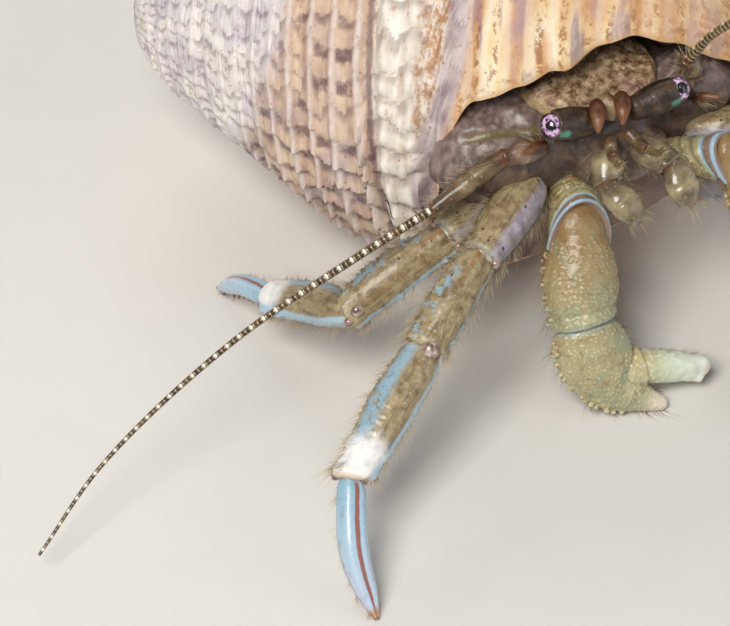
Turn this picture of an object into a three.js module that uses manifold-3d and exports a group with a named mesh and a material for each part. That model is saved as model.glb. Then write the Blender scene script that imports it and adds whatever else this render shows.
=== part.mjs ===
// A hermit crab standing in its snail shell, life size.
// Millimetres, +Z up, the head faces -Y, the crab's right side is -X, the floor is z = 0.
// Body places are measured from the floor point below the middle of the two eyes; the finished
// group is then shifted so that its origin is the bottom centre of the whole animal.
import * as THREE from 'three';
import { mergeVertices } from 'three/addons/utils/BufferGeometryUtils.js';
import Module from 'manifold-3d';

const wasm = await Module();
wasm.setup();

const at = (x, y, z) => new THREE.Vector3(x, y, z);
const rad = THREE.MathUtils.degToRad;
const { clamp, lerp, smoothstep } = THREE.MathUtils;

// ---------------------------------------------------------------- driving dimensions
const JOINT_GAP = 0.08;          // clear space between two plates of a limb
const BODY_GAP = 0.12;           // clear space between the soft body and what passes through it
const SHELL_GAP = 0.18;          // clear space between the soft body and the shell
const LIMB_SIDES = 10;
const FEELER_SIDES = 6;
const BODY_SIDES = 11;
const BODY_RINGS = 7;
const FEELER_RADIUS = 0.26;      // thinnest feeler
const FRONT_TOE_SWING = 0.6;     // the front toes curve outwards by this much in the middle

const SHELL_LENGTH = 34;
const SHELL_APEX = at(-16.4, 24.2, 8.6);
const SHELL_HEADING = -41;       // degrees, from the apex towards the siphon end
const SHELL_PITCH = 6;
const SHELL_WALL = 0.75;
const WHORL_RATIO = 1.3;         // each whorl is this much larger than the one before
const TRUE_APEX = 3.2;           // worn-away length of spire beyond the blunt tip
const LAST_SUTURE = 24.5;        // distance of the last suture from the true apex, over the top
const SUTURE_DEPTH = 0.3;
const LAST_WHORL_SWELL = 0.1;    // how much the last whorl outgrows the one below it
const SUTURE_CLIMB = 1.3;        // the suture climbs this much just before the lip
const CLIMB_FROM = 42;           // degrees round the axis
const CLIMB_TO = 98;
const COLUMELLA_RADIUS = 1.9;
const CANAL_RADIUS = 1.1;        // the columella thins to this at the siphon end
const PARIETAL_BULGE = 3.4;      // the wall inside the rear of the opening stands out this much
const LIP_WALL = 0.55;
const CAVITY_REAR = 20.9;        // along the axis, the rear corner of the opening
const CAVITY_DEEP_FRONT = 25.5;  // along the axis, the front of the space at its far end
const CAVITY_END = -150;         // degrees round the axis where the modelled space ends
const CAVITY_TURNS = 17;
const CAVITY_LIP_ROW = 10;
const CAVITY_STEPS = 9;
const BEYOND_SHELL = 16;
const SHELL_ROWS = 26;
const SHELL_COLUMNS = 30;

// radius of the shell at distances along its axis, from the blunt apex to the siphon end
const SHELL_PROFILE = [
  [0, 1.2], [0.6, 2.5], [1.6, 3.4], [3.6, 4.8], [8.5, 7.6], [13.5, 10.1],
  [18, 11.1], [21, 10.9], [24, 10.0], [27, 8.6], [30, 6.6], [34, 3.0],
];
// angle of the outer lip round the axis (0 = straight up, 90 = forward), by distance along it
const OUTER_LIP = [[20, 99], [20.8, 74], [22.8, 61.5], [25, 57], [27.4, 45], [30, 35], [34, 30]];
const INNER_LIP = [[20, 101], [21.5, 130], [24, 152], [28, 166], [31, 170], [34, 168]];

const EYE_HEIGHT = 15.5;
const EYE_SPREAD = 3.55;         // from the midline to the middle of a cornea
const CORNEA_RADIUS = 0.62;
const STALK_RADIUS = 0.76;
const SHIELD_LENGTH = 6.6;
const SHIELD_HALF_WIDTH = 3.7;
const SHIELD_FRONT = at(0, 0.75, 15.55);

// joints of the limbs, from the body outwards
const RIGHT_CLAW = [at(-1.7, 1.5, 10.6), at(-2.35, -1.3, 8.6), at(-3.2, -3.9, 5.2)];
const RIGHT_PALM = [RIGHT_CLAW[2], at(-2.3, -5.2, 2.1), at(-0.7, -6.1, 0.75), at(0.55, -6.7, 0.2)];
const RIGHT_FINGER = [at(-0.75, -5.1, 2.2), at(1.1, -5.45, 1.75), at(3.0, -5.95, 1.2)];
const LEFT_CLAW = [at(2.0, 0.9, 10.9), at(5.7, -2.2, 11.8), at(7.5, -5.0, 7.8)];
const LEFT_PALM = [LEFT_CLAW[2], at(7.2, -7.2, 4.7), at(6.5, -9.0, 2.05), at(6.1, -10.2, 0.04)];
const LEFT_FINGER = [at(6.0, -8.0, 4.2), at(5.35, -9.4, 2.6), at(5.0, -10.5, 0.9)];
const RIGHT_LEG_1 = [
  at(-3.75, 1.15, 10.87), at(-8.35, -2.35, 10.35), at(-12.55, -5.05, 7.95),
  at(-18.15, -9.05, 4.9), at(-18.9, -14.1, -0.08),
];
const RIGHT_LEG_2 = [
  at(-3.6, 3.9, 9.9), at(-8.7, 0.9, 9.0), at(-14.25, 0.25, 6.5),
  at(-16.4, 5.45, 3.5), at(-17.6, 10.6, -0.08),
];
const LEFT_LEG_1 = [
  at(4.5, 1.3, 11.0), at(9.4, -0.9, 11.3), at(13.0, -4.4, 9.0),
  at(15.9, -9.9, 5.2), at(16.2, -15.0, -0.08),
];
const LEFT_LEG_2 = [
  at(3.5, 1.2, 8.5), at(9.6, -0.8, 8.2), at(14.4, 2.6, 6.6),
  at(17.6, 9.0, 4.2), at(18.6, 14.3, -0.08),
];
const RIGHT_ANTENNA = [
  at(-9.8, 0.5, 11.6), at(-14.35, 0.15, 10.05), at(-21.1, -0.7, 7.75), at(-28.8, -2.75, 4.25),
  at(-33.2, -5.0, 1.6),
];
const LEFT_ANTENNA = [
  at(4.2, 0.45, 16.85), at(5.45, -0.2, 18.9), at(9.6, -3.2, 22.6), at(16.0, -7.5, 25.2),
  at(22.5, -11.0, 25.8),
];

const RIGHT_PEDUNCLE = [at(-3.5, 0.85, 13.5), at(-5.75, 0.95, 13.3)];
const LEFT_PEDUNCLE = [at(3.9, 1.4, 13.9), at(5.0, 1.25, 15.2)];
const RIGHT_MAXILLIPED = [at(-0.6, -0.5, 13.3), at(-1.15, -1.9, 12.3), at(-0.35, -4.0, 11.2)];
const LEFT_MAXILLIPED = [at(0.9, -0.6, 13.3), at(2.2, -2.2, 12.7), at(2.6, -3.9, 11.1)];

// ---------------------------------------------------------------- materials
const PAINT = {
  shell: [0xd9c2ad, 0.6],
  carapace: [0x8d7767, 0.45],
  flesh: [0x8a6f6a, 0.5],
  stalk: [0x3a2e22, 0.35],
  cornea: [0x5b3f55, 0.15],
  acicle: [0x8a5a30, 0.4],
  antenna: [0x6f6345, 0.4],
  mouthparts: [0x8f8468, 0.25],
  claw: [0x8f8a63, 0.45],
  fingers: [0xcfd8c0, 0.4],
  leg: [0x7b7354, 0.45],
  dactyl: [0x8fbfdd, 0.4],
};

const model = new THREE.Group();
model.name = 'hermit_crab';

function place(name, geometry, paint) {
  const [color, roughness] = PAINT[paint];
  const material = new THREE.MeshStandardMaterial({ color, roughness, metalness: 0 });
  const mesh = new THREE.Mesh(geometry, material);
  mesh.name = name;
  model.add(mesh);
  return mesh;
}

// ---------------------------------------------------------------- curves and closed surfaces
// Smooth function through a few [x, y] points.
function through(points) {
  const slope = (i) => {
    const before = points[Math.max(i - 1, 0)];
    const after = points[Math.min(i + 1, points.length - 1)];
    return (after[1] - before[1]) / (after[0] - before[0]);
  };
  return (x) => {
    const inside = clamp(x, points[0][0], points[points.length - 1][0]);
    let i = 0;
    while (i < points.length - 2 && inside > points[i + 1][0]) i += 1;
    const [x0, y0] = points[i];
    const [x1, y1] = points[i + 1];
    const span = x1 - x0;
    const t = (inside - x0) / span;
    const bend0 = slope(i) * span;
    const bend1 = slope(i + 1) * span;
    const rise = y1 - y0;
    const cubic = bend0 + bend1 - 2 * rise;
    const square = 3 * rise - 2 * bend0 - bend1;
    return y0 + t * (bend0 + t * (square + t * cubic));
  };
}

// Smooth function through values at equal steps of 0..1.
const spread = (values) => through(values.map((value, i) => [i / (values.length - 1), value]));

// Closed geometry over rings of points, with a fan at each end.
function skin(rings, startPoint, endPoint) {
  const sides = rings[0].length;
  const points = [startPoint, ...rings.flat(), endPoint];
  const faces = [];
  const index = (ring, side) => 1 + ring * sides + (side % sides);
  const last = rings.length - 1;
  for (let side = 0; side < sides; side += 1) {
    faces.push(0, index(0, side + 1), index(0, side));
    faces.push(points.length - 1, index(last, side), index(last, side + 1));
    for (let ring = 0; ring < last; ring += 1) {
      faces.push(index(ring, side), index(ring, side + 1), index(ring + 1, side + 1));
      faces.push(index(ring, side), index(ring + 1, side + 1), index(ring + 1, side));
    }
  }
  return solidGeometry(points, faces);
}

// The rings may run either way round, so the faces are turned to point out of the volume.
function solidGeometry(points, faces) {
  let volume = 0;
  for (let i = 0; i < faces.length; i += 3) {
    const [a, b, c] = [points[faces[i]], points[faces[i + 1]], points[faces[i + 2]]];
    volume += a.dot(b.clone().cross(c));
  }
  if (volume < 0) faces.reverse();
  const geometry = new THREE.BufferGeometry();
  const flat = points.flatMap((point) => [point.x, point.y, point.z]);
  geometry.setAttribute('position', new THREE.Float32BufferAttribute(flat, 3));
  geometry.setIndex(faces);
  return geometry;
}

const centreOf = (ring) =>
  ring.reduce((sum, point) => sum.add(point), at(0, 0, 0)).divideScalar(ring.length);

// ---------------------------------------------------------------- boolean helpers
function toSolid(geometry) {
  const plain = geometry.clone();
  plain.deleteAttribute('normal');
  plain.deleteAttribute('uv');
  const merged = mergeVertices(plain, 1e-5);
  const mesh = new wasm.Mesh({
    numProp: 3,
    vertProperties: new Float32Array(merged.attributes.position.array),
    triVerts: new Uint32Array(merged.index.array),
  });
  return new wasm.Manifold(mesh);
}

function toGeometry(solid) {
  const mesh = solid.getMesh();
  const geometry = new THREE.BufferGeometry();
  geometry.setAttribute('position', new THREE.BufferAttribute(mesh.vertProperties, 3));
  geometry.setIndex(new THREE.BufferAttribute(mesh.triVerts, 1));
  return geometry;
}

const largestPiece = (solid) =>
  solid.decompose().reduce((best, piece) => (piece.volume() > best.volume() ? piece : best));

const cut = (geometry, ...cutters) =>
  toGeometry(largestPiece(cutters.reduce((rest, cutter) => rest.subtract(cutter), toSolid(geometry))));

const FLOOR_SIZE = 200;
const floorBlock = toSolid(
  new THREE.BoxGeometry(FLOOR_SIZE, FLOOR_SIZE, FLOOR_SIZE).translate(0, 0, -FLOOR_SIZE / 2));

// ---------------------------------------------------------------- limb plates
// A rounded plate of a limb along `path`. `wide` and `deep` are half sizes across it, at equal
// steps; `across` is the direction of `wide`; `startFace` and `endFace` are the mitred end planes.
function plate({ path, wide, deep, across, startFace, endFace, rings = 6, sides = LIMB_SIDES, grow = 0 }) {
  const curve = new THREE.CatmullRomCurve3(path, false, 'centripetal');
  const wideAt = spread(wide);
  const deepAt = spread(deep);
  const sections = [];
  for (let ring = 0; ring < rings; ring += 1) {
    const t = ring / (rings - 1);
    const along = curve.getTangentAt(t);
    const face = along.clone();
    if (startFace) face.lerp(startFace, 1 - smoothstep(t, 0, 0.45));
    if (endFace) face.lerp(endFace, smoothstep(t, 0.55, 1));
    face.normalize();
    const side = across.clone().addScaledVector(face, -across.dot(face)).normalize();
    const up = face.clone().cross(side);
    const end = ring === 0 ? 1 : ring === rings - 1 ? -1 : 0;
    const shift = end * (JOINT_GAP / 2 - grow);
    const centre = curve.getPointAt(t).addScaledVector(face, shift);
    sections.push(Array.from({ length: sides }, (_, i) => {
      const turn = (2 * Math.PI * i) / sides;
      return centre.clone()
        .addScaledVector(side, (wideAt(t) + grow) * Math.cos(turn))
        .addScaledVector(up, (deepAt(t) + grow) * Math.sin(turn));
    }));
  }
  return skin(sections, centreOf(sections[0]), centreOf(sections[rings - 1]));
}

const direction = (from, to) => to.clone().sub(from).normalize();
const mitre = (before, joint, after) =>
  direction(before, joint).add(direction(joint, after)).normalize();

// The level direction square to a limb that runs from `from` to `to`.
const levelAcross = (from, to) => at(0, 0, 1).cross(direction(from, to)).normalize();

// One plate of a jointed limb, mitred against its neighbours; its middle is bowed outwards and
// swung sideways.
function limbPlate(joints, number, { wide, deep, bow = 0, swing = 0, rings, grow, across, sides }) {
  const from = joints[number];
  const to = joints[number + 1];
  const along = direction(from, to);
  const sideways = across ?? levelAcross(from, to);
  const outwards = along.clone().cross(sideways);
  const middle = from.clone().lerp(to, 0.5);
  middle.addScaledVector(outwards, bow).addScaledVector(sideways, swing);
  const startFace = number > 0 ? mitre(joints[number - 1], from, to) : undefined;
  const endFace = number < joints.length - 2 ? mitre(from, to, joints[number + 2]) : undefined;
  const path = [from, middle, to];
  return plate({ path, wide, deep, across: sideways, startFace, endFace, rings, grow, sides });
}

// ---------------------------------------------------------------- shell
const shellAxis = at(
  Math.cos(rad(SHELL_HEADING)) * Math.cos(rad(SHELL_PITCH)),
  Math.sin(rad(SHELL_HEADING)) * Math.cos(rad(SHELL_PITCH)),
  Math.sin(rad(SHELL_PITCH)),
);
const shellUp = at(0, 0, 1).addScaledVector(shellAxis, -shellAxis.z).normalize();
const shellFront = shellAxis.clone().cross(shellUp);

const profileAt = through(SHELL_PROFILE);
const outerLipAt = through(OUTER_LIP);
const innerLipAt = through(INNER_LIP);

function shellPoint(along, degrees, radius) {
  return SHELL_APEX.clone()
    .addScaledVector(shellAxis, along)
    .addScaledVector(shellUp, radius * Math.cos(rad(degrees)))
    .addScaledVector(shellFront, radius * Math.sin(rad(degrees)));
}

// Degrees of growth left before the lip, for a place `degrees` round the axis.
const beforeLip = (along, degrees) => {
  const behind = outerLipAt(along) - degrees;
  return behind - 360 * Math.floor(behind / 360);
};

// Distance along the axis of the last suture, `behind` degrees before the lip's rear corner.
function sutureAt(behind) {
  const degrees = CLIMB_TO - behind;
  const climb = SUTURE_CLIMB * smoothstep(degrees, CLIMB_FROM, CLIMB_TO);
  return LAST_SUTURE * WHORL_RATIO ** ((degrees - CLIMB_FROM) / 360) - TRUE_APEX - climb;
}

function shellRadius(along, degrees) {
  const behindCorner = CLIMB_TO - degrees - 360 * Math.floor((CLIMB_TO - degrees) / 360);
  const pastSuture = along - sutureAt(behindCorner);
  const rise = smoothstep(pastSuture, 0, 2.5);
  const grown = 1 - beforeLip(along, degrees) / 360;
  const swell = LAST_WHORL_SWELL * grown * rise;
  const turns = Math.log((along + TRUE_APEX) / LAST_SUTURE) / Math.log(WHORL_RATIO);
  const phase = turns - (CLIMB_TO - behindCorner - CLIMB_FROM) / 360;
  const fromSuture = pastSuture > 0 ? pastSuture / 3 : 1 - Math.abs(2 * (phase - Math.floor(phase)) - 1);
  const dip = SUTURE_DEPTH * (1 - smoothstep(fromSuture, 0, 0.5)) * smoothstep(along, 2, 8);
  return profileAt(along) * (1 + swell) - dip;
}

function shellOutside() {
  const rings = [];
  for (let row = 1; row <= SHELL_ROWS; row += 1) {
    const along = SHELL_LENGTH * (row / SHELL_ROWS) ** 1.15;
    rings.push(Array.from({ length: SHELL_COLUMNS }, (_, i) => {
      const degrees = outerLipAt(along) - 0.2 - (360 * i) / SHELL_COLUMNS;
      return shellPoint(along, degrees, shellRadius(along, degrees));
    }).reverse());
  }
  return skin(rings, shellPoint(0, 0, 0), shellPoint(SHELL_LENGTH + 0.2, 0, 0));
}

// Closed geometry of a curved slab: `upper` and `lower` are two equal grids of points.
function slab(upper, lower) {
  const rows = upper.length;
  const columns = upper[0].length;
  const points = [...upper.flat(), ...lower.flat()];
  const top = (j, i) => j * columns + i;
  const bottom = (j, i) => rows * columns + j * columns + i;
  const faces = [];
  const quad = (a, b, c, d) => faces.push(a, b, c, a, c, d);
  for (let j = 0; j < rows - 1; j += 1) {
    for (let i = 0; i < columns - 1; i += 1) {
      quad(top(j, i), top(j, i + 1), top(j + 1, i + 1), top(j + 1, i));
      quad(bottom(j, i), bottom(j + 1, i), bottom(j + 1, i + 1), bottom(j, i + 1));
    }
    quad(top(j, 0), top(j + 1, 0), bottom(j + 1, 0), bottom(j, 0));
    quad(top(j, columns - 1), bottom(j, columns - 1), bottom(j + 1, columns - 1), top(j + 1, columns - 1));
  }
  for (let i = 0; i < columns - 1; i += 1) {
    quad(top(0, i), bottom(0, i), bottom(0, i + 1), top(0, i + 1));
    quad(top(rows - 1, i), top(rows - 1, i + 1), bottom(rows - 1, i + 1), bottom(rows - 1, i));
  }
  return solidGeometry(points, faces);
}

// The space inside the last whorl, open through the aperture. `margin` draws its walls inwards.
function shellCavity(margin) {
  const upper = [];
  const lower = [];
  for (let j = 0; j <= CAVITY_TURNS; j += 1) {
    const open = j > CAVITY_LIP_ROW;
    const depthIn = clamp(1 - j / CAVITY_LIP_ROW, 0, 1);
    const near = lerp(CAVITY_REAR, CAVITY_REAR - 1.2, depthIn) + margin;
    const far = lerp(SHELL_LENGTH + 1 - margin, CAVITY_DEEP_FRONT, depthIn ** 0.8);
    const outerRow = [];
    const innerRow = [];
    for (let i = 0; i <= CAVITY_STEPS; i += 1) {
      const u = i / CAVITY_STEPS;
      const along = lerp(near, far, u);
      const lip = outerLipAt(along);
      const opened = (j - CAVITY_LIP_ROW - 1) / (CAVITY_TURNS - CAVITY_LIP_ROW - 1);
      const degrees = open
        ? lerp(lip + 0.6, innerLipAt(along) - 2 * margin, opened)
        : lerp(lip, CAVITY_END, depthIn);
      const wall = lerp(SHELL_WALL, LIP_WALL, smoothstep(degrees, lip - 25, lip)) + margin;
      const roof = shellRadius(along, Math.min(degrees, lip - 0.5)) - wall;
      const parietal = PARIETAL_BULGE * (1 - smoothstep(u, 0, 0.35));
      const floor = lerp(COLUMELLA_RADIUS, CANAL_RADIUS, smoothstep(u, 0.4, 0.9)) + parietal + margin;
      const inside = lerp(floor + 0.6, roof, 1 - 0.5 * depthIn ** 3);
      const outer = open ? BEYOND_SHELL : inside;
      outerRow.push(shellPoint(along, degrees, outer));
      innerRow.push(shellPoint(along, degrees, Math.min(floor, outer - 0.5)));
    }
    upper.push(outerRow);
    lower.push(innerRow);
  }
  return slab(upper, lower);
}

const outsideSolid = toSolid(shellOutside());
const cavitySolid = toSolid(shellCavity(0));
const shellSolid = largestPiece(outsideSolid.subtract(cavitySolid).subtract(floorBlock));
const shellClearance = outsideSolid.subtract(toSolid(shellCavity(SHELL_GAP)))
  .add(outsideSolid.subtract(cavitySolid));
place('shell', toGeometry(shellSolid), 'shell');

// ---------------------------------------------------------------- roots in the soft body
// Solids that the soft body has to leave room for.
const bodyCutters = [];

// A piece that is rooted in the soft body: `shape(grow)` makes it, or a fatter copy of it.
function placeRoot(name, shape, paint) {
  bodyCutters.push(toSolid(shape(BODY_GAP)));
  return place(name, cut(shape(0), shellClearance), paint);
}

// ---------------------------------------------------------------- head
const mirrored = (point, side) => at(point.x * side, point.y, point.z);
const sideName = (side) => (side < 0 ? 'right' : 'left');
const RIGHT = -1;
const LEFT = 1;
const ACROSS = at(1, 0, 0);
const UPRIGHT = at(0, 0, 1);

// The hard front of the carapace: a low arched plate that narrows towards the eyes.
function shieldGeometry(grow) {
  const halfWidth = spread([2.5, 3.35, SHIELD_HALF_WIDTH, 3.6, 3.1, 2.4]);
  const arch = spread([0.35, 0.85, 1.1, 1.2, 1.0, 0.6]);
  const rings = 7;
  const sections = Array.from({ length: rings }, (_, ring) => {
    const t = ring / (rings - 1);
    const lengthwise = SHIELD_LENGTH * t + grow * (2 * t - 1);
    const centre = SHIELD_FRONT.clone().add(at(0, lengthwise, -0.45 * t * t - 0.75));
    return Array.from({ length: 14 }, (__, i) => {
      const turn = (2 * Math.PI * i) / 14;
      const lift = Math.sin(turn);
      const height = (lift > 0 ? arch(t) : 0.45) + grow;
      return centre.clone().add(at((halfWidth(t) + grow) * Math.cos(turn), 0, height * lift));
    });
  });
  return skin(sections, centreOf(sections[0]), centreOf(sections[rings - 1]));
}

function eye(side) {
  const root = mirrored(at(0.72, -0.05, 15.05), side);
  const tip = mirrored(at(EYE_SPREAD - 0.12, 0, EYE_HEIGHT - 0.02), side);
  const end = mirrored(at(EYE_SPREAD + 0.56, -0.08, EYE_HEIGHT + 0.04), side);
  const stalkShape = { path: [root, tip], across: at(0, 1, 0), rings: 5 };
  const wide = [0.6, 0.66, 0.7, STALK_RADIUS, STALK_RADIUS - 0.06];
  const corneaSize = [1, 0.98, 0.86, 0.6, 0.22].map((part) => part * CORNEA_RADIUS);
  const stalk = (grow) => plate({ ...stalkShape, wide, deep: wide, grow });
  placeRoot(`eyestalk_${sideName(side)}`, stalk, 'stalk');
  place(`cornea_${sideName(side)}`, plate({
    path: [tip, end], across: at(0, 1, 0), rings: 5, wide: corneaSize, deep: corneaSize,
  }), 'cornea');
  place(`ocular_acicle_${sideName(side)}`, plate({
    path: [at(0.5, 0.62, 16.15), at(0.52, -0.4, 16.25), at(0.5, -1.2, 15.75)]
      .map((point) => mirrored(point, side)),
    across: ACROSS, rings: 5, sides: 8,
    wide: [0.28, 0.42, 0.42, 0.3, 0.1], deep: [0.25, 0.27, 0.27, 0.25, 0.1],
  }), 'acicle');
}

function antennule(side) {
  const size = [0.42, 0.36, 0.32, 0.32, 0.3];
  const path = [at(0.5, -0.5, 14.15), at(0.72, -1.3, 13.95), at(0.9, -2.0, 14.0)];
  placeRoot(`antennule_${sideName(side)}`, (grow) => plate({
    path: path.map((point) => mirrored(point, side)),
    across: ACROSS, rings: 5, sides: 8, wide: size, deep: size, grow,
  }), 'stalk');
  const thin = [FEELER_RADIUS, FEELER_RADIUS, FEELER_RADIUS];
  place(`antennule_flagellum_${sideName(side)}`, plate({
    path: [at(0.92, -2.1, 14.04), at(1.1, -2.75, 14.35), at(1.25, -3.2, 15.0)]
      .map((point) => mirrored(point, side)),
    across: ACROSS, rings: 4, sides: FEELER_SIDES, wide: thin, deep: thin,
  }), 'antenna');
}

// The long antenna: two peduncle plates and a flagellum parted into three lengths.
function antenna(side, peduncle, flagellum) {
  const name = sideName(side);
  const joints = [...peduncle, flagellum[0], flagellum[1]];
  const thick = [0.6, 0.72, 0.66, 0.5];
  const thin = [0.42, 0.44, 0.4, 0.34];
  placeRoot(`antenna_base_${name}`, (grow) => limbPlate(joints, 0, {
    wide: thick, deep: thick, rings: 5, sides: 8, across: UPRIGHT, grow,
  }), 'antenna');
  placeRoot(`antenna_peduncle_${name}`, (grow) => limbPlate(joints, 1, {
    wide: thin, deep: thin, rings: 6, sides: 8, across: UPRIGHT, grow,
  }), 'antenna');
  const curve = new THREE.CatmullRomCurve3(flagellum, false, 'centripetal');
  const lengths = 3;
  for (let number = 0; number < lengths; number += 1) {
    const from = number / lengths;
    const steps = 4;
    const path = Array.from({ length: steps + 1 }, (_, i) => curve.getPointAt(from + i / steps / lengths));
    const radius = lerp(FEELER_RADIUS + 0.06, FEELER_RADIUS, from);
    place(`antenna_flagellum_${name}_${number + 1}`, plate({
      path, across: UPRIGHT, rings: 8, sides: FEELER_SIDES,
      startFace: number === 0 ? mitre(joints[1], joints[2], joints[3]) : undefined,
      wide: [radius, radius], deep: [radius, radius],
    }), 'antenna');
  }
}

// The thorn-like scale beside the base of an antenna.
function antennalAcicle(side, root, tip) {
  const path = [root, root.clone().lerp(tip, 0.5).add(at(0, 0, 0.12)), tip];
  placeRoot(`antennal_acicle_${sideName(side)}`, (grow) => plate({
    path, across: UPRIGHT, rings: 4, sides: 6, wide: [0.28, 0.26, 0.1], deep: [0.26, 0.25, 0.1], grow,
  }), 'acicle');
}

function maxilliped(side, joints) {
  const name = sideName(side);
  placeRoot(`maxilliped_${name}`, (grow) => limbPlate(joints, 0, {
    wide: [0.62, 0.68, 0.6], deep: [0.5, 0.55, 0.5], rings: 5, sides: 8, across: ACROSS, grow,
  }), 'mouthparts');
  place(`maxilliped_palp_${name}`, limbPlate(joints, 1, {
    wide: [0.5, 0.56, 0.34], deep: [0.45, 0.5, 0.3], rings: 5, sides: 8, across: ACROSS, bow: 0.15,
  }), 'mouthparts');
}

// ---------------------------------------------------------------- claws and walking legs
function cheliped(side, arm, palm, finger, size) {
  const name = sideName(side);
  const joints = [...arm, palm[1]];
  const scaled = (values) => values.map((value) => value * size);
  const upper = { wide: scaled([0.9, 1.45, 1.6]), deep: scaled([1.0, 1.3, 1.45]), across: ACROSS };
  const middle = {
    wide: scaled([1.35, 1.85, 1.85, 1.5]), deep: scaled([1.2, 1.6, 1.6, 1.3]), across: ACROSS,
  };
  placeRoot(`cheliped_merus_${name}`, (grow) => limbPlate(joints, 0, { ...upper, grow }), 'claw');
  place(`cheliped_carpus_${name}`, limbPlate(joints, 1, middle), 'claw');
  const palmGeometry = plate({
    path: palm, across: ACROSS, rings: 9,
    startFace: mitre(arm[1], palm[0], palm[1]),
    wide: scaled([1.4, 1.85, 1.85, 1.3, 0.7, 0.3]), deep: scaled([1.25, 1.5, 1.35, 0.9, 0.55, 0.26]),
  });
  const fingerShape = {
    path: finger, across: UPRIGHT, rings: 6, sides: 8,
    wide: scaled([0.75, 0.72, 0.6, 0.42]), deep: scaled([0.8, 0.7, 0.6, 0.4]),
  };
  const fingerRoom = toSolid(plate({ ...fingerShape, grow: JOINT_GAP }));
  place(`cheliped_palm_${name}`, cut(palmGeometry, fingerRoom, floorBlock), 'claw');
  place(`cheliped_dactyl_${name}`, cut(plate(fingerShape), floorBlock), 'fingers');
}

const LEG_PLATES = [
  { part: 'merus', wide: [0.85, 1.2, 1.15, 0.95], deep: [0.9, 1.3, 1.2, 1.0], bow: 0.2, paint: 'leg' },
  { part: 'carpus', wide: [0.9, 1.05, 1.1, 0.95], deep: [0.95, 1.05, 1.1, 1.0], bow: 0.25, paint: 'leg' },
  { part: 'propodus', wide: [1.0, 1.2, 1.15, 0.95], deep: [0.95, 1.1, 1.0, 0.85], bow: 0.1, paint: 'leg' },
  {
    part: 'dactyl', wide: [0.72, 0.78, 0.74, 0.56, 0.12], deep: [0.72, 0.76, 0.68, 0.5, 0.12],
    bow: 0.45, paint: 'dactyl',
  },
];

function walkingLeg(side, number, joints) {
  LEG_PLATES.forEach(({ part, wide, deep, bow, paint }, i) => {
    const swing = part === 'dactyl' && number === 1 ? FRONT_TOE_SWING * side : 0;
    const shape = (grow) => limbPlate(joints, i, { wide, deep, bow, swing, rings: 5, grow });
    const name = `leg_${number}_${part}_${sideName(side)}`;
    if (part === 'merus') placeRoot(name, shape, paint);
    else if (part === 'dactyl') place(name, cut(shape(0), floorBlock), paint);
    else place(name, shape(0), paint);
  });
}

// ---------------------------------------------------------------- soft body
// Rounded masses that make up the soft body: centre and half sizes.
const BODY_MASSES = [
  { centre: at(0, 3.8, 12.3), size: at(3.9, 4.4, 2.3) },
  { centre: at(-4.5, 3.5, 11.9), size: at(4.3, 3.3, 3.1) },
  { centre: at(3.4, 3.7, 12.0), size: at(3.2, 3.0, 2.4) },
  { centre: at(0, 0.9, 13.1), size: at(2.9, 1.5, 1.7) },
  { centre: at(0, 2.6, 10.4), size: at(3.4, 2.2, 1.8) },
];

function bodyMass({ centre, size }) {
  return toSolid(new THREE.SphereGeometry(1, BODY_SIDES, BODY_RINGS)
    .rotateX(Math.PI / 2)
    .scale(size.x, size.y, size.z)
    .translate(centre.x, centre.y, centre.z));
}

// The soft tail, coiled back over the shell's axis inside the last whorl.
function abdomenGeometry(grow) {
  const steps = 6;
  const path = Array.from({ length: steps + 1 }, (_, i) => {
    const t = i / steps;
    return shellPoint(lerp(25.4, 22.2, t), lerp(34, -128, t), lerp(6.1, 5.4, t));
  });
  const thickness = [3.0, 3.1, 2.8, 2.3, 1.6, 0.8];
  return plate({
    path, across: shellAxis, wide: thickness, deep: thickness.map((size) => size * 0.9),
    rings: 9, sides: 12, grow,
  });
}

function softBody() {
  const whole = BODY_MASSES.map(bodyMass).reduce((sum, mass) => sum.add(mass));
  const abdomen = cut(abdomenGeometry(0), shellClearance, ...bodyCutters);
  const tailRoom = toSolid(abdomenGeometry(BODY_GAP));
  const room = [...bodyCutters, tailRoom, shellClearance];
  const thorax = room.reduce((rest, cutter) => rest.subtract(cutter), whole);
  place('thorax', toGeometry(largestPiece(thorax)), 'flesh');
  place('abdomen', abdomen, 'flesh');
}

[RIGHT, LEFT].forEach((side) => {
  eye(side);
  antennule(side);
});
placeRoot('shield', shieldGeometry, 'carapace');
antenna(RIGHT, RIGHT_PEDUNCLE, RIGHT_ANTENNA);
antenna(LEFT, LEFT_PEDUNCLE, LEFT_ANTENNA);
antennalAcicle(RIGHT, at(-3.7, 0.1, 14.2), at(-5.3, -0.35, 14.5));
antennalAcicle(LEFT, at(4.7, 0.6, 13.9), at(5.7, -0.4, 14.5));
maxilliped(RIGHT, RIGHT_MAXILLIPED);
maxilliped(LEFT, LEFT_MAXILLIPED);
cheliped(RIGHT, RIGHT_CLAW, RIGHT_PALM, RIGHT_FINGER, 1);
cheliped(LEFT, LEFT_CLAW, LEFT_PALM, LEFT_FINGER, 0.72);
walkingLeg(RIGHT, 1, RIGHT_LEG_1);
walkingLeg(RIGHT, 2, RIGHT_LEG_2);
walkingLeg(LEFT, 1, LEFT_LEG_1);
walkingLeg(LEFT, 2, LEFT_LEG_2);
softBody();

// ---------------------------------------------------------------- finish
const box = new THREE.Box3().setFromObject(model);
const middle = box.getCenter(at(0, 0, 0));
model.position.set(-middle.x, -middle.y, -box.min.z);

export default model;
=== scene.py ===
"""Hermit crab in its snail shell: the visual model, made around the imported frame."""

import math

import bmesh
import bpy
import numpy as np
from bpy.props import FloatProperty, FloatVectorProperty, IntProperty, PointerProperty
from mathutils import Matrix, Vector, kdtree


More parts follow.
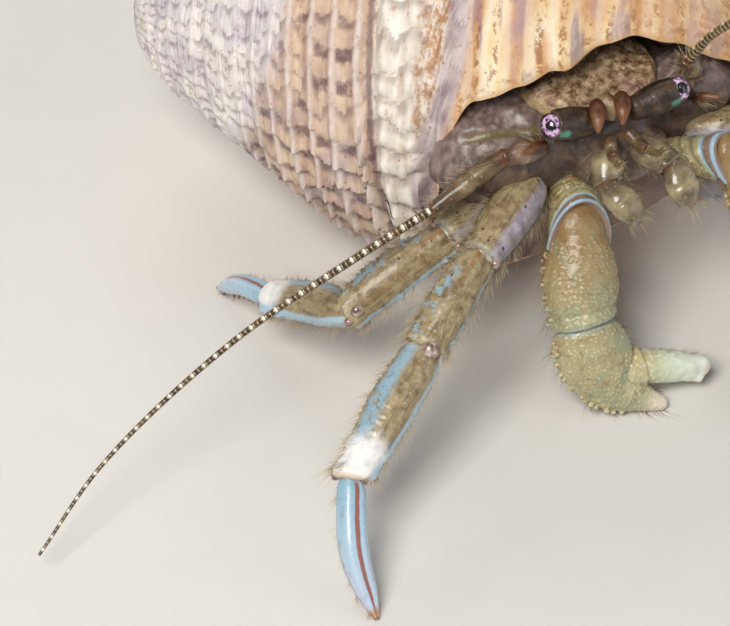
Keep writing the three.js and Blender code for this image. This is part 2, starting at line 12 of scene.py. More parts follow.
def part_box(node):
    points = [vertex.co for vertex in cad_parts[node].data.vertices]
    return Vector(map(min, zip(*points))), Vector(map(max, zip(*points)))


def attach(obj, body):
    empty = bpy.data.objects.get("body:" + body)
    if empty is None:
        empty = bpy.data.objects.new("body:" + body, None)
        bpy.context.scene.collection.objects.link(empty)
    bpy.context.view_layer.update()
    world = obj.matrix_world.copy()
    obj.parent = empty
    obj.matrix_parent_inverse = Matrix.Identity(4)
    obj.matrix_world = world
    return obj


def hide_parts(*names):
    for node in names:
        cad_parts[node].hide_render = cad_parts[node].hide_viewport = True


bl_info = {
    "name": "Hermit Crab",
    "version": (1, 0, 0),
    "blender": (4, 5, 0),
    "location": "View3D > Sidebar > Hermit Crab",
    "description": "Builds a life-size hermit crab in its snail shell around a packed CAD frame",
    "category": "Add Mesh",
}

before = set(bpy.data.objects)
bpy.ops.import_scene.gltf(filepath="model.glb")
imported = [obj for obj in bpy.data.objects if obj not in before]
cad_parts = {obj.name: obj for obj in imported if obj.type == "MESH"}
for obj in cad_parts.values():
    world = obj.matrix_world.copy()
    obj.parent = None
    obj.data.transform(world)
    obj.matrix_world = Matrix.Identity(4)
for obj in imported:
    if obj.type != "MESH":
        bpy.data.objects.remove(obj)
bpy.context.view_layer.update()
MM = 0.001


def head_place():
    """The floor point below the middle of the eyes, in millimetres of the frame."""
    low = np.minimum(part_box("cornea_left")[0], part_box("cornea_right")[0])
    high = np.maximum(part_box("cornea_left")[1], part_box("cornea_right")[1])
    middle = (low + high) / 2 / MM
    return np.array([middle[0], middle[1] + 0.006, 0.0])


HEAD = head_place()
RIGHT, LEFT = -1, 1
WORDS = {RIGHT: "right", LEFT: "left"}
ACROSS = np.array([1.0, 0.0, 0.0])
LENGTHWISE = np.array([0.0, 1.0, 0.0])
UPRIGHT = np.array([0.0, 0.0, 1.0])

# ------------------------------------------------------------------ joints of the limbs, in mm
RIGHT_CLAW = [(-1.7, 1.5, 10.6), (-2.35, -1.3, 8.6), (-3.2, -3.9, 5.2)]
RIGHT_PALM = [RIGHT_CLAW[2], (-2.3, -5.2, 2.1), (-0.7, -6.1, 0.75), (0.55, -6.7, 0.2)]
RIGHT_FINGER = [(-0.75, -5.1, 2.2), (1.1, -5.45, 1.75), (3.0, -5.95, 1.2)]
LEFT_CLAW = [(2.0, 0.9, 10.9), (5.7, -2.2, 11.8), (7.5, -5.0, 7.8)]
LEFT_PALM = [LEFT_CLAW[2], (7.2, -7.2, 4.7), (6.5, -9.0, 2.05), (6.1, -10.2, 0.04)]
LEFT_FINGER = [(6.0, -8.0, 4.2), (5.35, -9.4, 2.6), (5.0, -10.5, 0.9)]
LEFT_CLAW_SIZE = 0.72            # the right claw is 1
LEG_JOINTS = {
    (1, RIGHT): [
        (-3.75, 1.15, 10.87), (-8.35, -2.35, 10.35), (-12.55, -5.05, 7.95),
        (-18.15, -9.05, 4.9), (-18.9, -14.1, -0.02),
    ],
    (2, RIGHT): [
        (-3.6, 3.9, 9.9), (-8.7, 0.9, 9.0), (-14.25, 0.25, 6.5),
        (-16.4, 5.45, 3.5), (-17.6, 10.6, -0.02),
    ],
    (1, LEFT): [
        (4.5, 1.3, 11.0), (9.4, -0.9, 11.3), (13.0, -4.4, 9.0),
        (15.9, -9.9, 5.2), (16.2, -15.0, -0.02),
    ],
    (2, LEFT): [
        (3.5, 1.2, 8.5), (9.6, -0.8, 8.2), (14.4, 2.6, 6.6),
        (17.6, 9.0, 4.2), (18.6, 14.3, -0.02),
    ],
}
ANTENNA_ROOT = {
    RIGHT: [(-3.5, 0.85, 13.5), (-5.75, 0.95, 13.3)],
    LEFT: [(3.9, 1.4, 13.9), (5.0, 1.25, 15.2)],
}
ANTENNA = {
    RIGHT: [
        (-9.8, 0.5, 11.6), (-14.35, 0.15, 10.05), (-21.1, -0.7, 7.75), (-28.8, -2.75, 4.25),
        (-33.2, -5.0, 1.6),
    ],
    LEFT: [
        (4.2, 0.45, 16.85), (5.45, -0.2, 18.9), (9.6, -3.2, 22.6), (16.0, -7.5, 25.2),
        (22.5, -11.0, 25.8),
    ],
}
MAXILLIPED = {
    RIGHT: [(-0.6, -0.5, 13.3), (-1.15, -1.9, 12.3), (-0.35, -4.0, 11.2)],
    LEFT: [(0.9, -0.6, 13.3), (2.2, -2.2, 12.7), (2.6, -3.9, 11.1)],
}


# ------------------------------------------------------------------ numbers and curves
def smoothstep(x, low, high):
    """0 below `low`, 1 above `high`, and a soft rise between them."""
    t = np.clip((x - low) / (high - low), 0.0, 1.0)
    return t * t * (3 - 2 * t)


def lerp(a, b, t):
    """From `a` at 0 to `b` at 1."""
    return a + (b - a) * t


def unit(vectors):
    """The vectors at length 1."""
    vectors = np.asarray(vectors, float)
    return vectors / np.maximum(np.linalg.norm(vectors, axis=-1, keepdims=True), 1e-12)


def through(points):
    """A smooth function through a few (x, y) points."""
    xs, ys = np.array(points, float).T
    before, after = np.r_[0, np.arange(len(xs) - 1)], np.r_[np.arange(1, len(xs)), len(xs) - 1]
    slopes = (ys[after] - ys[before]) / (xs[after] - xs[before])

    def value(x):
        x = np.clip(x, xs[0], xs[-1])
        i = np.clip(np.searchsorted(xs, x, side="right") - 1, 0, len(xs) - 2)
        span = xs[i + 1] - xs[i]
        t = (x - xs[i]) / span
        bend0, bend1, rise = slopes[i] * span, slopes[i + 1] * span, ys[i + 1] - ys[i]
        cubic, square = bend0 + bend1 - 2 * rise, 3 * rise - 2 * bend0 - bend1
        return ys[i] + t * (bend0 + t * (square + t * cubic))

    return value


def spread(values):
    """A smooth function through values at equal steps of 0..1."""
    return through([(i / (len(values) - 1), value) for i, value in enumerate(values)])


def spline(points, samples=400):
    """A centripetal curve through the points: a function from 0..1 to a place, and its length."""
    p = np.array(points, float)
    p = np.vstack([2 * p[0] - p[1], p, 2 * p[-1] - p[-2]])
    knots = np.r_[0, np.cumsum(np.sqrt(np.linalg.norm(np.diff(p, axis=0), axis=1)))]
    line = []
    for i in range(1, len(p) - 2):
        t = np.linspace(knots[i], knots[i + 1], samples // (len(p) - 3), endpoint=i == len(p) - 3)
        t = t[:, None]
        k = knots[i - 1 : i + 3]
        q = p[i - 1 : i + 3]
        a = [((k[j + 1] - t) * q[j] + (t - k[j]) * q[j + 1]) / (k[j + 1] - k[j]) for j in range(3)]
        b = [((k[j + 2] - t) * a[j] + (t - k[j]) * a[j + 1]) / (k[j + 2] - k[j]) for j in range(2)]
        line.append(((k[2] - t) * b[0] + (t - k[1]) * b[1]) / (k[2] - k[1]))
    line = np.vstack(line)
    run = np.r_[0, np.cumsum(np.linalg.norm(np.diff(line, axis=0), axis=1))]

    def place(t):
        inside = np.clip(t, 0, 1) * run[-1]
        found = np.stack([np.interp(inside, run, line[:, i]) for i in range(3)], -1)
        over = (np.asarray(t, float) - np.clip(t, 0, 1))[..., None] * run[-1]
        start, end = unit(line[1] - line[0]), unit(line[-1] - line[-2])
        return found + np.where(over < 0, start, end) * over

    return place, run[-1]


def value_noise(points, size, seed):
    """Smooth noise from -1 to 1 with blobs about `size` mm across."""
    table = np.random.default_rng(seed).uniform(-1, 1, (32, 32, 32))
    p = np.asarray(points, float) / size + 64
    cell = np.floor(p).astype(int)
    f = p - cell
    f = f * f * (3 - 2 * f)
    total = np.zeros(p.shape[:-1])
    for corner in np.ndindex(2, 2, 2):
        weight = np.prod(np.where(corner, f, 1 - f), axis=-1)
        index = (cell + corner) % 32
        total += weight * table[index[..., 0], index[..., 1], index[..., 2]]
    return total


# ------------------------------------------------------------------ meshes
def added(name, data):
    """A new object of the scene."""
    thing = bpy.data.objects.new(name, data)
    bpy.context.scene.collection.objects.link(thing)
    return thing


def show(name, points, faces, finish, slot, replaced=(), values=None, uvs=None):
    """Makes a piece from points in mm of the head's frame, and binds it to the frame."""
    mesh = bpy.data.meshes.new(name)
    places = (np.asarray(points).reshape(-1, 3) + HEAD) * MM
    mesh.from_pydata(places.tolist(), [], faces if isinstance(faces, list) else faces.tolist())
    mesh.validate()
    mesh.shade_smooth()
    for key, numbers in (values or {}).items():
        layer = mesh.attributes.new(key, "FLOAT", "POINT")
        layer.data.foreach_set("value", np.asarray(numbers, np.float32).ravel())
    if uvs is not None:
        layer = mesh.uv_layers.new(name="OFBake")
        layer.data.foreach_set("uv", np.asarray(uvs, np.float32).ravel())
    mesh.materials.append(finish)
    piece = added(name, mesh)
    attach(piece, "root")
    if replaced:
        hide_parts(*replaced)
    return piece


def grid_faces(rows, columns, closed=False, first=0):
    """Quads of a grid of points; `closed` joins the last column to the first one."""
    last = columns if closed else columns - 1
    row, column = np.meshgrid(np.arange(rows - 1), np.arange(last), indexing="ij")
    after = (column + 1) % columns
    a = row * columns + column
    b = row * columns + after
    return (np.stack([a, b, b + columns, a + columns], -1) + first).reshape(-1, 4)


class Tube:
    """A limb plate as rings of points round a line, with what its markings and hairs need."""

    def __init__(self, path, wide, deep, across, rings=60, sides=48, start_face=None,
                 end_face=None, front=1, lead=0.0, tail=0.0, blunt=(0.4, 0.4)):
        place, self.length = spline(path)
        wide, deep = spread(wide), spread(deep)
        across = np.asarray(across, float)
        lead, tail = lead / self.length, tail / self.length
        t = np.linspace(-lead, 1 + tail, rings)
        step = 1e-3
        forward = unit(place(t + step) - place(t - step))
        face = forward.copy()
        if start_face is not None:
            face = lerp(face, start_face, (1 - smoothstep(t, 0, 0.45))[:, None])
        if end_face is not None:
            face = lerp(face, end_face, smoothstep(t, 0.55, 1)[:, None])
        face = unit(face)
        side = unit(across - face * (face @ across)[:, None])
        up = np.cross(face, side)
        turn = 2 * np.pi * np.arange(sides) / sides
        self.t, self.front = t, front
        ends = np.ones(rings)
        for depth, distance in ((blunt[0], t + lead), (blunt[1], 1 + tail - t)):
            if depth > 0:
                inside = np.clip(distance * self.length / depth, 0, 1)
                ends *= np.sqrt(np.clip(1 - (1 - inside) ** 2, 0.0009, 1))
        self.centre, self.side, self.up, self.face = place(t), side, up, face
        self.wide, self.deep = wide(t) * ends, deep(t) * ends
        self.points = (
            self.centre[:, None]
            + side[:, None] * (self.wide[:, None] * np.cos(turn))[..., None]
            + up[:, None] * (self.deep[:, None] * np.sin(turn))[..., None]
        )
        # degrees round the plate: 0 on top, positive towards the head, 180 below
        degrees = 90 - np.degrees(turn) if front > 0 else np.degrees(turn) - 90
        self.around = np.broadcast_to((degrees + 180) % 360 - 180, self.points.shape[:2])
        self.along = np.broadcast_to(t[:, None], self.points.shape[:2])

    def normals(self):
        """Outward directions at all the points."""
        across = np.roll(self.points, -1, 1) - np.roll(self.points, 1, 1)
        lengthwise = np.gradient(self.points, axis=0)
        normals = unit(np.cross(across, lengthwise))
        outwards = self.points - self.centre[:, None]
        flip = np.sign(np.sum(normals * outwards, -1).mean() or 1)
        return normals * flip

    def push(self, height):
        """Moves the surface out by `height` mm, fading at the two closed ends."""
        fade = np.clip(np.minimum(self.wide, self.deep) / max(self.wide.max() * 0.5, 1e-6), 0, 1)
        self.points = self.points + self.normals() * (height * fade[:, None])[..., None]

    def keep_above_floor(self):
        """Flattens what would sink below the floor."""
        self.points[..., 2] = np.maximum(self.points[..., 2], 0.0)

    def noise(self, size, seed):
        return value_noise(self.points, size, seed)

    def band(self, degrees, width):
        """1 on a line `degrees` round the plate, fading to 0 at `width` degrees from it."""
        away = np.abs((self.around - degrees + 180) % 360 - 180)
        return 1 - smoothstep(away, 0, width)

    def sample(self, t, degrees):
        """Places, outward normals and ways to the tip at parts of the length and angles."""
        rows, columns = self.points.shape[:2]
        row = np.clip(np.interp(t, self.t, np.arange(rows)), 0, rows - 1.001)
        turn = 90 - degrees if self.front > 0 else degrees + 90
        column = (turn % 360) / 360 * columns
        i, j = row.astype(int), column.astype(int) % columns
        a, b = (row - i)[:, None], (column - np.floor(column))[:, None]
        after = (j + 1) % columns
        normals = self.normals()

        def blend(grid):
            low = lerp(grid[i, j], grid[i, after], b)
            return lerp(low, lerp(grid[i + 1, j], grid[i + 1, after], b), a)

        return blend(self.points), unit(blend(normals)), self.face[i]

    def closed(self):
        """Points and faces with a fan of triangles over each end."""
        rows, columns = self.points.shape[:2]
        ends = self.points[0].mean(0), self.points[-1].mean(0)
        points = np.vstack([self.points.reshape(-1, 3), *ends])
        faces = grid_faces(rows, columns, closed=True).tolist()
        start, end = rows * columns, rows * columns + 1
        for i in range(columns):
            after = (i + 1) % columns
            faces.append([start, after, i])
            faces.append([end, start - columns + i, start - columns + after])
        return points, faces

    def values(self):
        """What the markings need: the part of the length, and the half turns round the plate."""
        along = np.r_[self.along.ravel(), self.t[0], self.t[-1]]
        return {"along": along, "around": np.r_[self.around.ravel(), 0, 0] / 180}

    def show(self, name, finish, slot, replaced=(), **extra):
        """Makes the piece, with the tube's own values and any extra ones for its markings."""
        points, faces = self.closed()
        if np.linalg.det(np.stack([self.side[0], self.up[0], self.face[0]])) > 0:
            faces = [face[::-1] for face in faces]
        values = self.values()
        for key, numbers in extra.items():
            values[key] = np.r_[np.asarray(numbers).ravel(), 0, 0]
        return show(name, points, faces, finish, slot, replaced, values)


def granules(tube, count, size, height, seed, where=None, along=(0.04, 0.96)):
    """Raised round grains over a plate, at seeded random places; returns the grain mask."""
    rng = np.random.default_rng(seed)
    rows, columns = tube.points.shape[:2]
    flat = tube.points.reshape(-1, 3)
    chance = np.ones((rows, columns)) if where is None else np.clip(where, 0, 1)
    chance = chance * ((tube.along > along[0]) & (tube.along < along[1]))
    chance = (chance * (tube.wide + tube.deep)[:, None]).ravel()
    centres = flat[rng.choice(len(flat), count, p=chance / chance.sum())]
    apart = np.sum((centres[:, None] - centres[None]) ** 2, -1) < (1.35 * size) ** 2
    kept = []
    free = np.ones(count, bool)
    for i in range(count):
        if free[i]:
            kept.append(i)
            free &= ~apart[i]
    tree = kdtree.KDTree(len(kept))
    for i, index in enumerate(kept):
        tree.insert(centres[index], i)
    tree.balance()
    sizes = size * rng.uniform(0.7, 1.2, len(kept))
    found = [tree.find(place)[1:] for place in flat]
    away = np.array([distance / sizes[i] for i, distance in found])
    mask = np.clip(1 - away**2, 0, 1).reshape(rows, columns)
    tube.push(height * mask)
    return mask


def mitre(before, joint, after):
    """The direction halfway between the two lengths that meet at a joint."""
    before, joint, after = (np.array(p, float) for p in (before, joint, after))
    return unit(unit(joint - before) + unit(after - joint))


def limb_tube(joints, number, wide, deep, bow=0.0, across=None, swing=0.0, **more):
    """A plate between two joints of a limb, as the CAD has it."""
    start, end = np.array(joints[number], float), np.array(joints[number + 1], float)
    forward = unit(end - start)
    sideways = unit(np.cross(UPRIGHT, forward)) if across is None else np.asarray(across, float)
    middle = (start + end) / 2 + np.cross(forward, sideways) * bow + sideways * swing
    start_face = mitre(joints[number - 1], start, end) if number > 0 else None
    end_face = mitre(start, end, joints[number + 2]) if number < len(joints) - 2 else None
    return Tube([start, middle, end], wide, deep, sideways,
                start_face=start_face, end_face=end_face, **more)


PLATES = {}                      # plates already made, by name: the bristles are rooted on them


def plate(name, tube, suffix, finish, slot, **extra):
    """Shows a tube in place of the CAD node of that name, and keeps it for its bristles."""
    PLATES[name] = tube
    tube.show(f"{name}_{suffix}", finish, slot, [name], **extra)


# ------------------------------------------------------------------ shader expressions
class Shade:
    """A shader socket that can be used in Python expressions."""

    def __init__(self, tree, socket):
        self.tree, self.socket = tree, socket

    def made(self, kind, settings=None, inputs=None, output=0):
        """Adds a node: its settings are set first, then its sockets' values or links."""
        node = self.tree.nodes.new(kind)
        for key, value in (settings or {}).items():
            if key == "stops":
                ramp = node.color_ramp
                while len(ramp.elements) < len(value):
                    ramp.elements.new(0.5)
                for element, (position, colour) in zip(ramp.elements, value):
                    element.position = position
                    element.color = (*colour, 1)
            else:
                setattr(node, key, value)
        for key, value in (inputs or {}).items():
            if isinstance(value, Shade):
                self.tree.links.new(value.socket, node.inputs[key])
            elif value is not None:
                socket = node.inputs[key]
                if socket.type == "RGBA" and len(value) == 3:
                    value = (*value, 1)
                socket.default_value = value
        return Shade(self.tree, node.outputs[output])

    def math(self, operation, *values, clamp=False):
        inputs = dict(enumerate(values))
        return self.made("ShaderNodeMath", {"operation": operation, "use_clamp": clamp}, inputs)

    def __add__(self, other):
        return self.math("ADD", self, other)

    __radd__ = __add__

    def __mul__(self, other):
        return self.math("MULTIPLY", self, other)

    __rmul__ = __mul__

    def __sub__(self, other):
        return self.math("SUBTRACT", self, other)

    def __rsub__(self, other):
        return self.math("SUBTRACT", other, self)

    def __truediv__(self, other):
        return self.math("DIVIDE", self, other)

    def clamped(self):
        return self.math("ADD", self, 0.0, clamp=True)

    def floor(self):
        return self.math("FLOOR", self)

    def wave(self):
        """0..1..0 once for each whole number."""
        return self.math("SINE", self * (2 * math.pi)) * 0.5 + 0.5

    def near(self, value, width):
        """1 at `value`, fading to 0 at `width` from it."""
        away = self.math("ABSOLUTE", self - value)
        return self.math("SUBTRACT", 1.0, away / width, clamp=True)

    def over(self, low, high):
        """0 below `low`, 1 above `high`, or the other way round if high is the lower one."""
        settings = {"interpolation_type": "SMOOTHSTEP"}
        inputs = {"Value": self, "From Min": low, "From Max": high}
        if high < low:
            inputs.update({"From Min": high, "From Max": low, "To Min": 1.0, "To Max": 0.0})
        return self.made("ShaderNodeMapRange", settings, inputs)

    def mix(self, a, b):
        """The colour `a` where this is 0 and `b` where it is 1."""
        settings = {"data_type": "RGBA"}
        return self.made("ShaderNodeMix", settings, {0: self, 6: a, 7: b}, output=2)

    def ramp(self, *stops):
        return self.made("ShaderNodeValToRGB", {"stops": stops}, {0: self})


class Finish(Shade):
    """A material: its shader, and the coordinates its markings are worked out from."""

    def __init__(self, name, **constants):
        self.material = bpy.data.materials.new(name)
        self.material.use_nodes = True
        super().__init__(self.material.node_tree, None)
        self.tree.nodes.clear()
        self.shader = self.tree.nodes.new("ShaderNodeBsdfPrincipled")
        output = self.tree.nodes.new("ShaderNodeOutputMaterial")
        self.tree.links.new(self.shader.outputs[0], output.inputs[0])
        for key, value in constants.items():
            self.shader.inputs[key.replace("_", " ")].default_value = value
        coordinates = self.made("ShaderNodeTexCoord", output="Object")
        self.place = self.scaled(coordinates, 1 / MM)
        self.colour = None

    def vector(self, operation, *values, output=0):
        """Vector maths, for places and directions."""
        inputs = dict(enumerate(values))
        return self.made("ShaderNodeVectorMath", {"operation": operation}, inputs, output)

    def scaled(self, vector, scale):
        return self.vector("MULTIPLY", vector, (scale,) * 3)

    def attribute(self, name):
        return self.made("ShaderNodeAttribute", {"attribute_name": name}, output="Fac")

    def degrees(self):
        """Degrees round the plate: 0 on top, positive towards the head."""
        return self.attribute("around") * 180.0

    def joined(self, x, y, z=0.0):
        return self.made("ShaderNodeCombineXYZ", None, {0: x, 1: y, 2: z})

    def noise(self, size, detail=3.0, roughness=0.55, at=None, shift=0.0):
        """Noise from 0 to 1 with blobs about `size` mm across."""
        place = self.scaled(at or self.place, 1 / size)
        if shift:
            place = self.vector("ADD", place, (shift, -shift, shift))
        inputs = {"Vector": place, "Scale": 1.0, "Detail": detail, "Roughness": roughness}
        return self.made("ShaderNodeTexNoise", None, inputs)

    def cells(self, size, at=None):
        """Distance to the middle of the nearest of many cells about `size` mm across."""
        inputs = {"Vector": self.scaled(at or self.place, 1 / size), "Scale": 1.0}
        return self.made("ShaderNodeTexVoronoi", None, inputs, output="Distance")

    def spots(self, size, share, soft=0.1, seed_shift=0.0):
        """Round spots about `size` mm apart, each `share` of that across."""
        place = self.place
        if seed_shift:
            place = self.vector("ADD", place, (seed_shift, seed_shift * 2, -seed_shift))
        return self.cells(size, at=place).over(share, share - soft)

    def paint(self, mask, colour):
        """Lays one more colour over the finish, where the mask is above 0."""
        self.colour = mask.mix(self.colour, colour)

    def finished(self, roughness, height=None, depth=0.05):
        """Joins the colour, roughness and relief (`depth` mm high) to the shader."""
        for key, value in (("Base Color", self.colour), ("Roughness", roughness)):
            if isinstance(value, Shade):
                self.tree.links.new(value.socket, self.shader.inputs[key])
            else:
                self.shader.inputs[key].default_value = value
        if height is not None:
            inputs = {"Height": height, "Distance": depth * MM, "Strength": 1.0}
            normal = self.made("ShaderNodeBump", None, inputs)
            self.tree.links.new(normal.socket, self.shader.inputs["Normal"])
        return self.material


def tone(red, green, blue):
    """A colour in the shader's own units, from the 0..255 numbers of a paint program."""
    parts = np.array([red, green, blue]) / 255
    return tuple(np.where(parts <= 0.04045, parts / 12.92, ((parts + 0.055) / 1.055) ** 2.4).tolist())


# ------------------------------------------------------------------ the snail shell's shape, in mm
SHELL_LENGTH = 34.0
SHELL_APEX = np.array([-16.4, 24.2, 8.6])
SHELL_HEADING, SHELL_PITCH = math.radians(-41), math.radians(6)
LIP_REAR = 20.0                  # along the axis, where the opening begins
CORDS = 3                        # raised cords on each whorl
LAST_WHORL_STEP = 5.2            # along the axis, in one turn of the last suture
WALL, LIP_WALL = 0.75, 0.5
FAR_TURN = -100.0                # degrees round the axis where the hollow is closed off
RADIANS_A_DEGREE = 0.0175
shell_axis = np.array([
    math.cos(SHELL_HEADING) * math.cos(SHELL_PITCH),
    math.sin(SHELL_HEADING) * math.cos(SHELL_PITCH),
    math.sin(SHELL_PITCH),
])
shell_up = unit(UPRIGHT - shell_axis * shell_axis[2])
shell_front = np.cross(shell_axis, shell_up)
profile_at = through([
    (0, 0.9), (0.25, 1.75), (0.7, 2.55), (1.6, 3.4), (3.6, 4.8), (8.5, 7.6), (13.5, 10.1),
    (18, 11.1), (21, 10.9), (24, 10.0), (27, 8.6), (30, 6.6), (34, 3.0),
])
outer_lip_at = through([(20, 99), (20.8, 74), (22.8, 61.5), (25, 57), (27.4, 45), (30, 35), (34, 30)])
inner_lip_at = through([(20, 99), (21.5, 130), (24, 152), (28, 166), (31, 170), (34, 168)])
# whorls counted along the axis on the line 45 degrees round it; 0 is the last suture
whorls_at = through([
    (0, -6.6), (0.6, -6), (2.8, -5), (5.4, -4), (8.5, -3), (12.2, -2), (16.5, -1), (21.3, 0),
    (27.5, 1), (34, 2.05),
])


def shell_point(along, degrees, radius):
    """A place by its distance along the axis, the angle round it and the radius."""
    angle = np.radians(degrees)[..., None]
    round_axis = shell_up * np.cos(angle) + shell_front * np.sin(angle)
    return SHELL_APEX + shell_axis * along[..., None] + round_axis * radius[..., None]


def whorl(along, degrees):
    """Whorls counted from the last suture; whole numbers are the sutures."""
    return whorls_at(along) - (degrees - 45) / 360


def last_suture(degrees):
    """Distance along the axis of the last suture; it climbs just before the lip."""
    steady = 21.3 + (degrees - 45) / 360 * LAST_WHORL_STEP
    return steady - 2.3 * smoothstep(degrees, 45, 98)


def shell_radius(along, degrees):
    """The smooth outside of the shell: every whorl bulges a little between its sutures."""
    past = along - last_suture(degrees)
    grown = 1 - (outer_lip_at(along) - degrees) / 360
    swell = 0.1 * grown * smoothstep(past, 0, 2.5)
    turns = whorl(along, degrees)
    spire_dip = 1 - np.abs(2 * (turns - np.floor(turns)) - 1)
    spire_dip = (1 - smoothstep(spire_dip, 0, 0.45)) * (past < 0)
    last_dip = 1 - smoothstep(np.abs(past), 0, 1.2)
    dip = 0.34 * np.maximum(spire_dip * (1 - last_dip), last_dip) * smoothstep(along, 1.5, 7)
    return profile_at(along) * (1 + swell) - dip


def shell_relief(along, degrees):
    """Cords, overlapping scales, knobs and pits: (height in mm, crest mask, scale mask)."""
    past = along - last_suture(degrees)
    cord = CORDS * whorl(along, degrees)
    number = np.floor(cord)
    places = shell_point(along, degrees, profile_at(along))
    across = cord - number - 0.5 + 0.09 * value_noise(places, 1.6, 16)
    body = smoothstep(past, -0.4, 0.8)
    knobby = smoothstep(along, 16.2, 16.9) * (1 - smoothstep(along, 19.6, 20.3)) * (1 - body)
    width = lerp(lerp(0.16, 0.3, knobby), 0.3, body)
    crest = np.exp(-((across / width) ** 2))
    spot = np.stack([number * 3.1, degrees / 14, along * 0.02], -1)
    jitter = value_noise(spot, 1.0, 3)
    pitch = lerp(9.0, 8.0, knobby)
    growth = (degrees + 360) / pitch + 0.55 * jitter + 0.12 * np.cos(2 * np.pi * across)
    saw = growth - np.floor(growth)
    scale = saw**1.6 * (1 - smoothstep(saw, 0.9, 1.0))
    round_knob = np.sin(np.pi * saw) ** 1.4
    rough = value_noise(places, 2.4, 11)
    fine = value_noise(places, 0.7, 12)
    under = smoothstep(degrees, 66, 98) * (1 - smoothstep(degrees, 150, 200))
    ruffled = 0.14 + 0.34 * under + 0.14 * smoothstep(rough, -0.2, 0.8)
    worn = 1 - smoothstep(along, 8.5, 12.5)
    cord_height = lerp(lerp(0.27, 0.3, knobby), 0.15, body) * (1 - 0.6 * worn)
    height = cord_height * crest * (0.75 + 0.25 * scale)
    height += ruffled * scale * lerp(1.0, 0.35, body) * (1 - 0.62 * worn) * (0.6 + 0.5 * crest)
    height += 0.42 * knobby * round_knob * crest
    height += 0.07 * rough + 0.03 * fine
    pits = smoothstep(value_noise(places, 0.85, 15), 0.25, 0.7) * worn
    height -= 0.22 * pits
    lines = value_noise(np.stack([degrees / 1.1, cord * 0.7, along * 0], -1), 1.0, 21)
    height += 0.025 * lines * body
    height *= smoothstep(along, 0.1, 2.0)
    return height, crest, scale


def growth_side(along, degrees):
    """Behind the opening, the underside counts on from the front, so that its relief runs through."""
    return np.where((along < LIP_REAR) & (degrees < -180), degrees + 360, degrees)


def lip_edge(along, degrees):
    """1 right at the outer lip, fading out 1 mm behind it."""
    behind = (outer_lip_at(along) - degrees) * profile_at(along) * RADIANS_A_DEGREE
    return 1 - smoothstep(behind, 0, 1.0)


def shell_floor(along, degrees):
    """Radius of the columella and of the wall of the whorl before, inside the opening."""
    u = (along - LIP_REAR) / (SHELL_LENGTH - LIP_REAR)
    bare = lerp(1.9, 1.1, smoothstep(u, 0.4, 0.9)) + 3.4 * (1 - smoothstep(u, 0, 0.35))
    edge = 1 - smoothstep(inner_lip_at(along) - degrees, 0, 24.0)
    folds = 0.12 * np.sin(along * 3.4) * smoothstep(u, 0.35, 0.5)
    outside = shell_radius(along, inner_lip_at(along) - 360)
    return bare + folds * (1 - edge) + (outside - bare) * edge**1.6


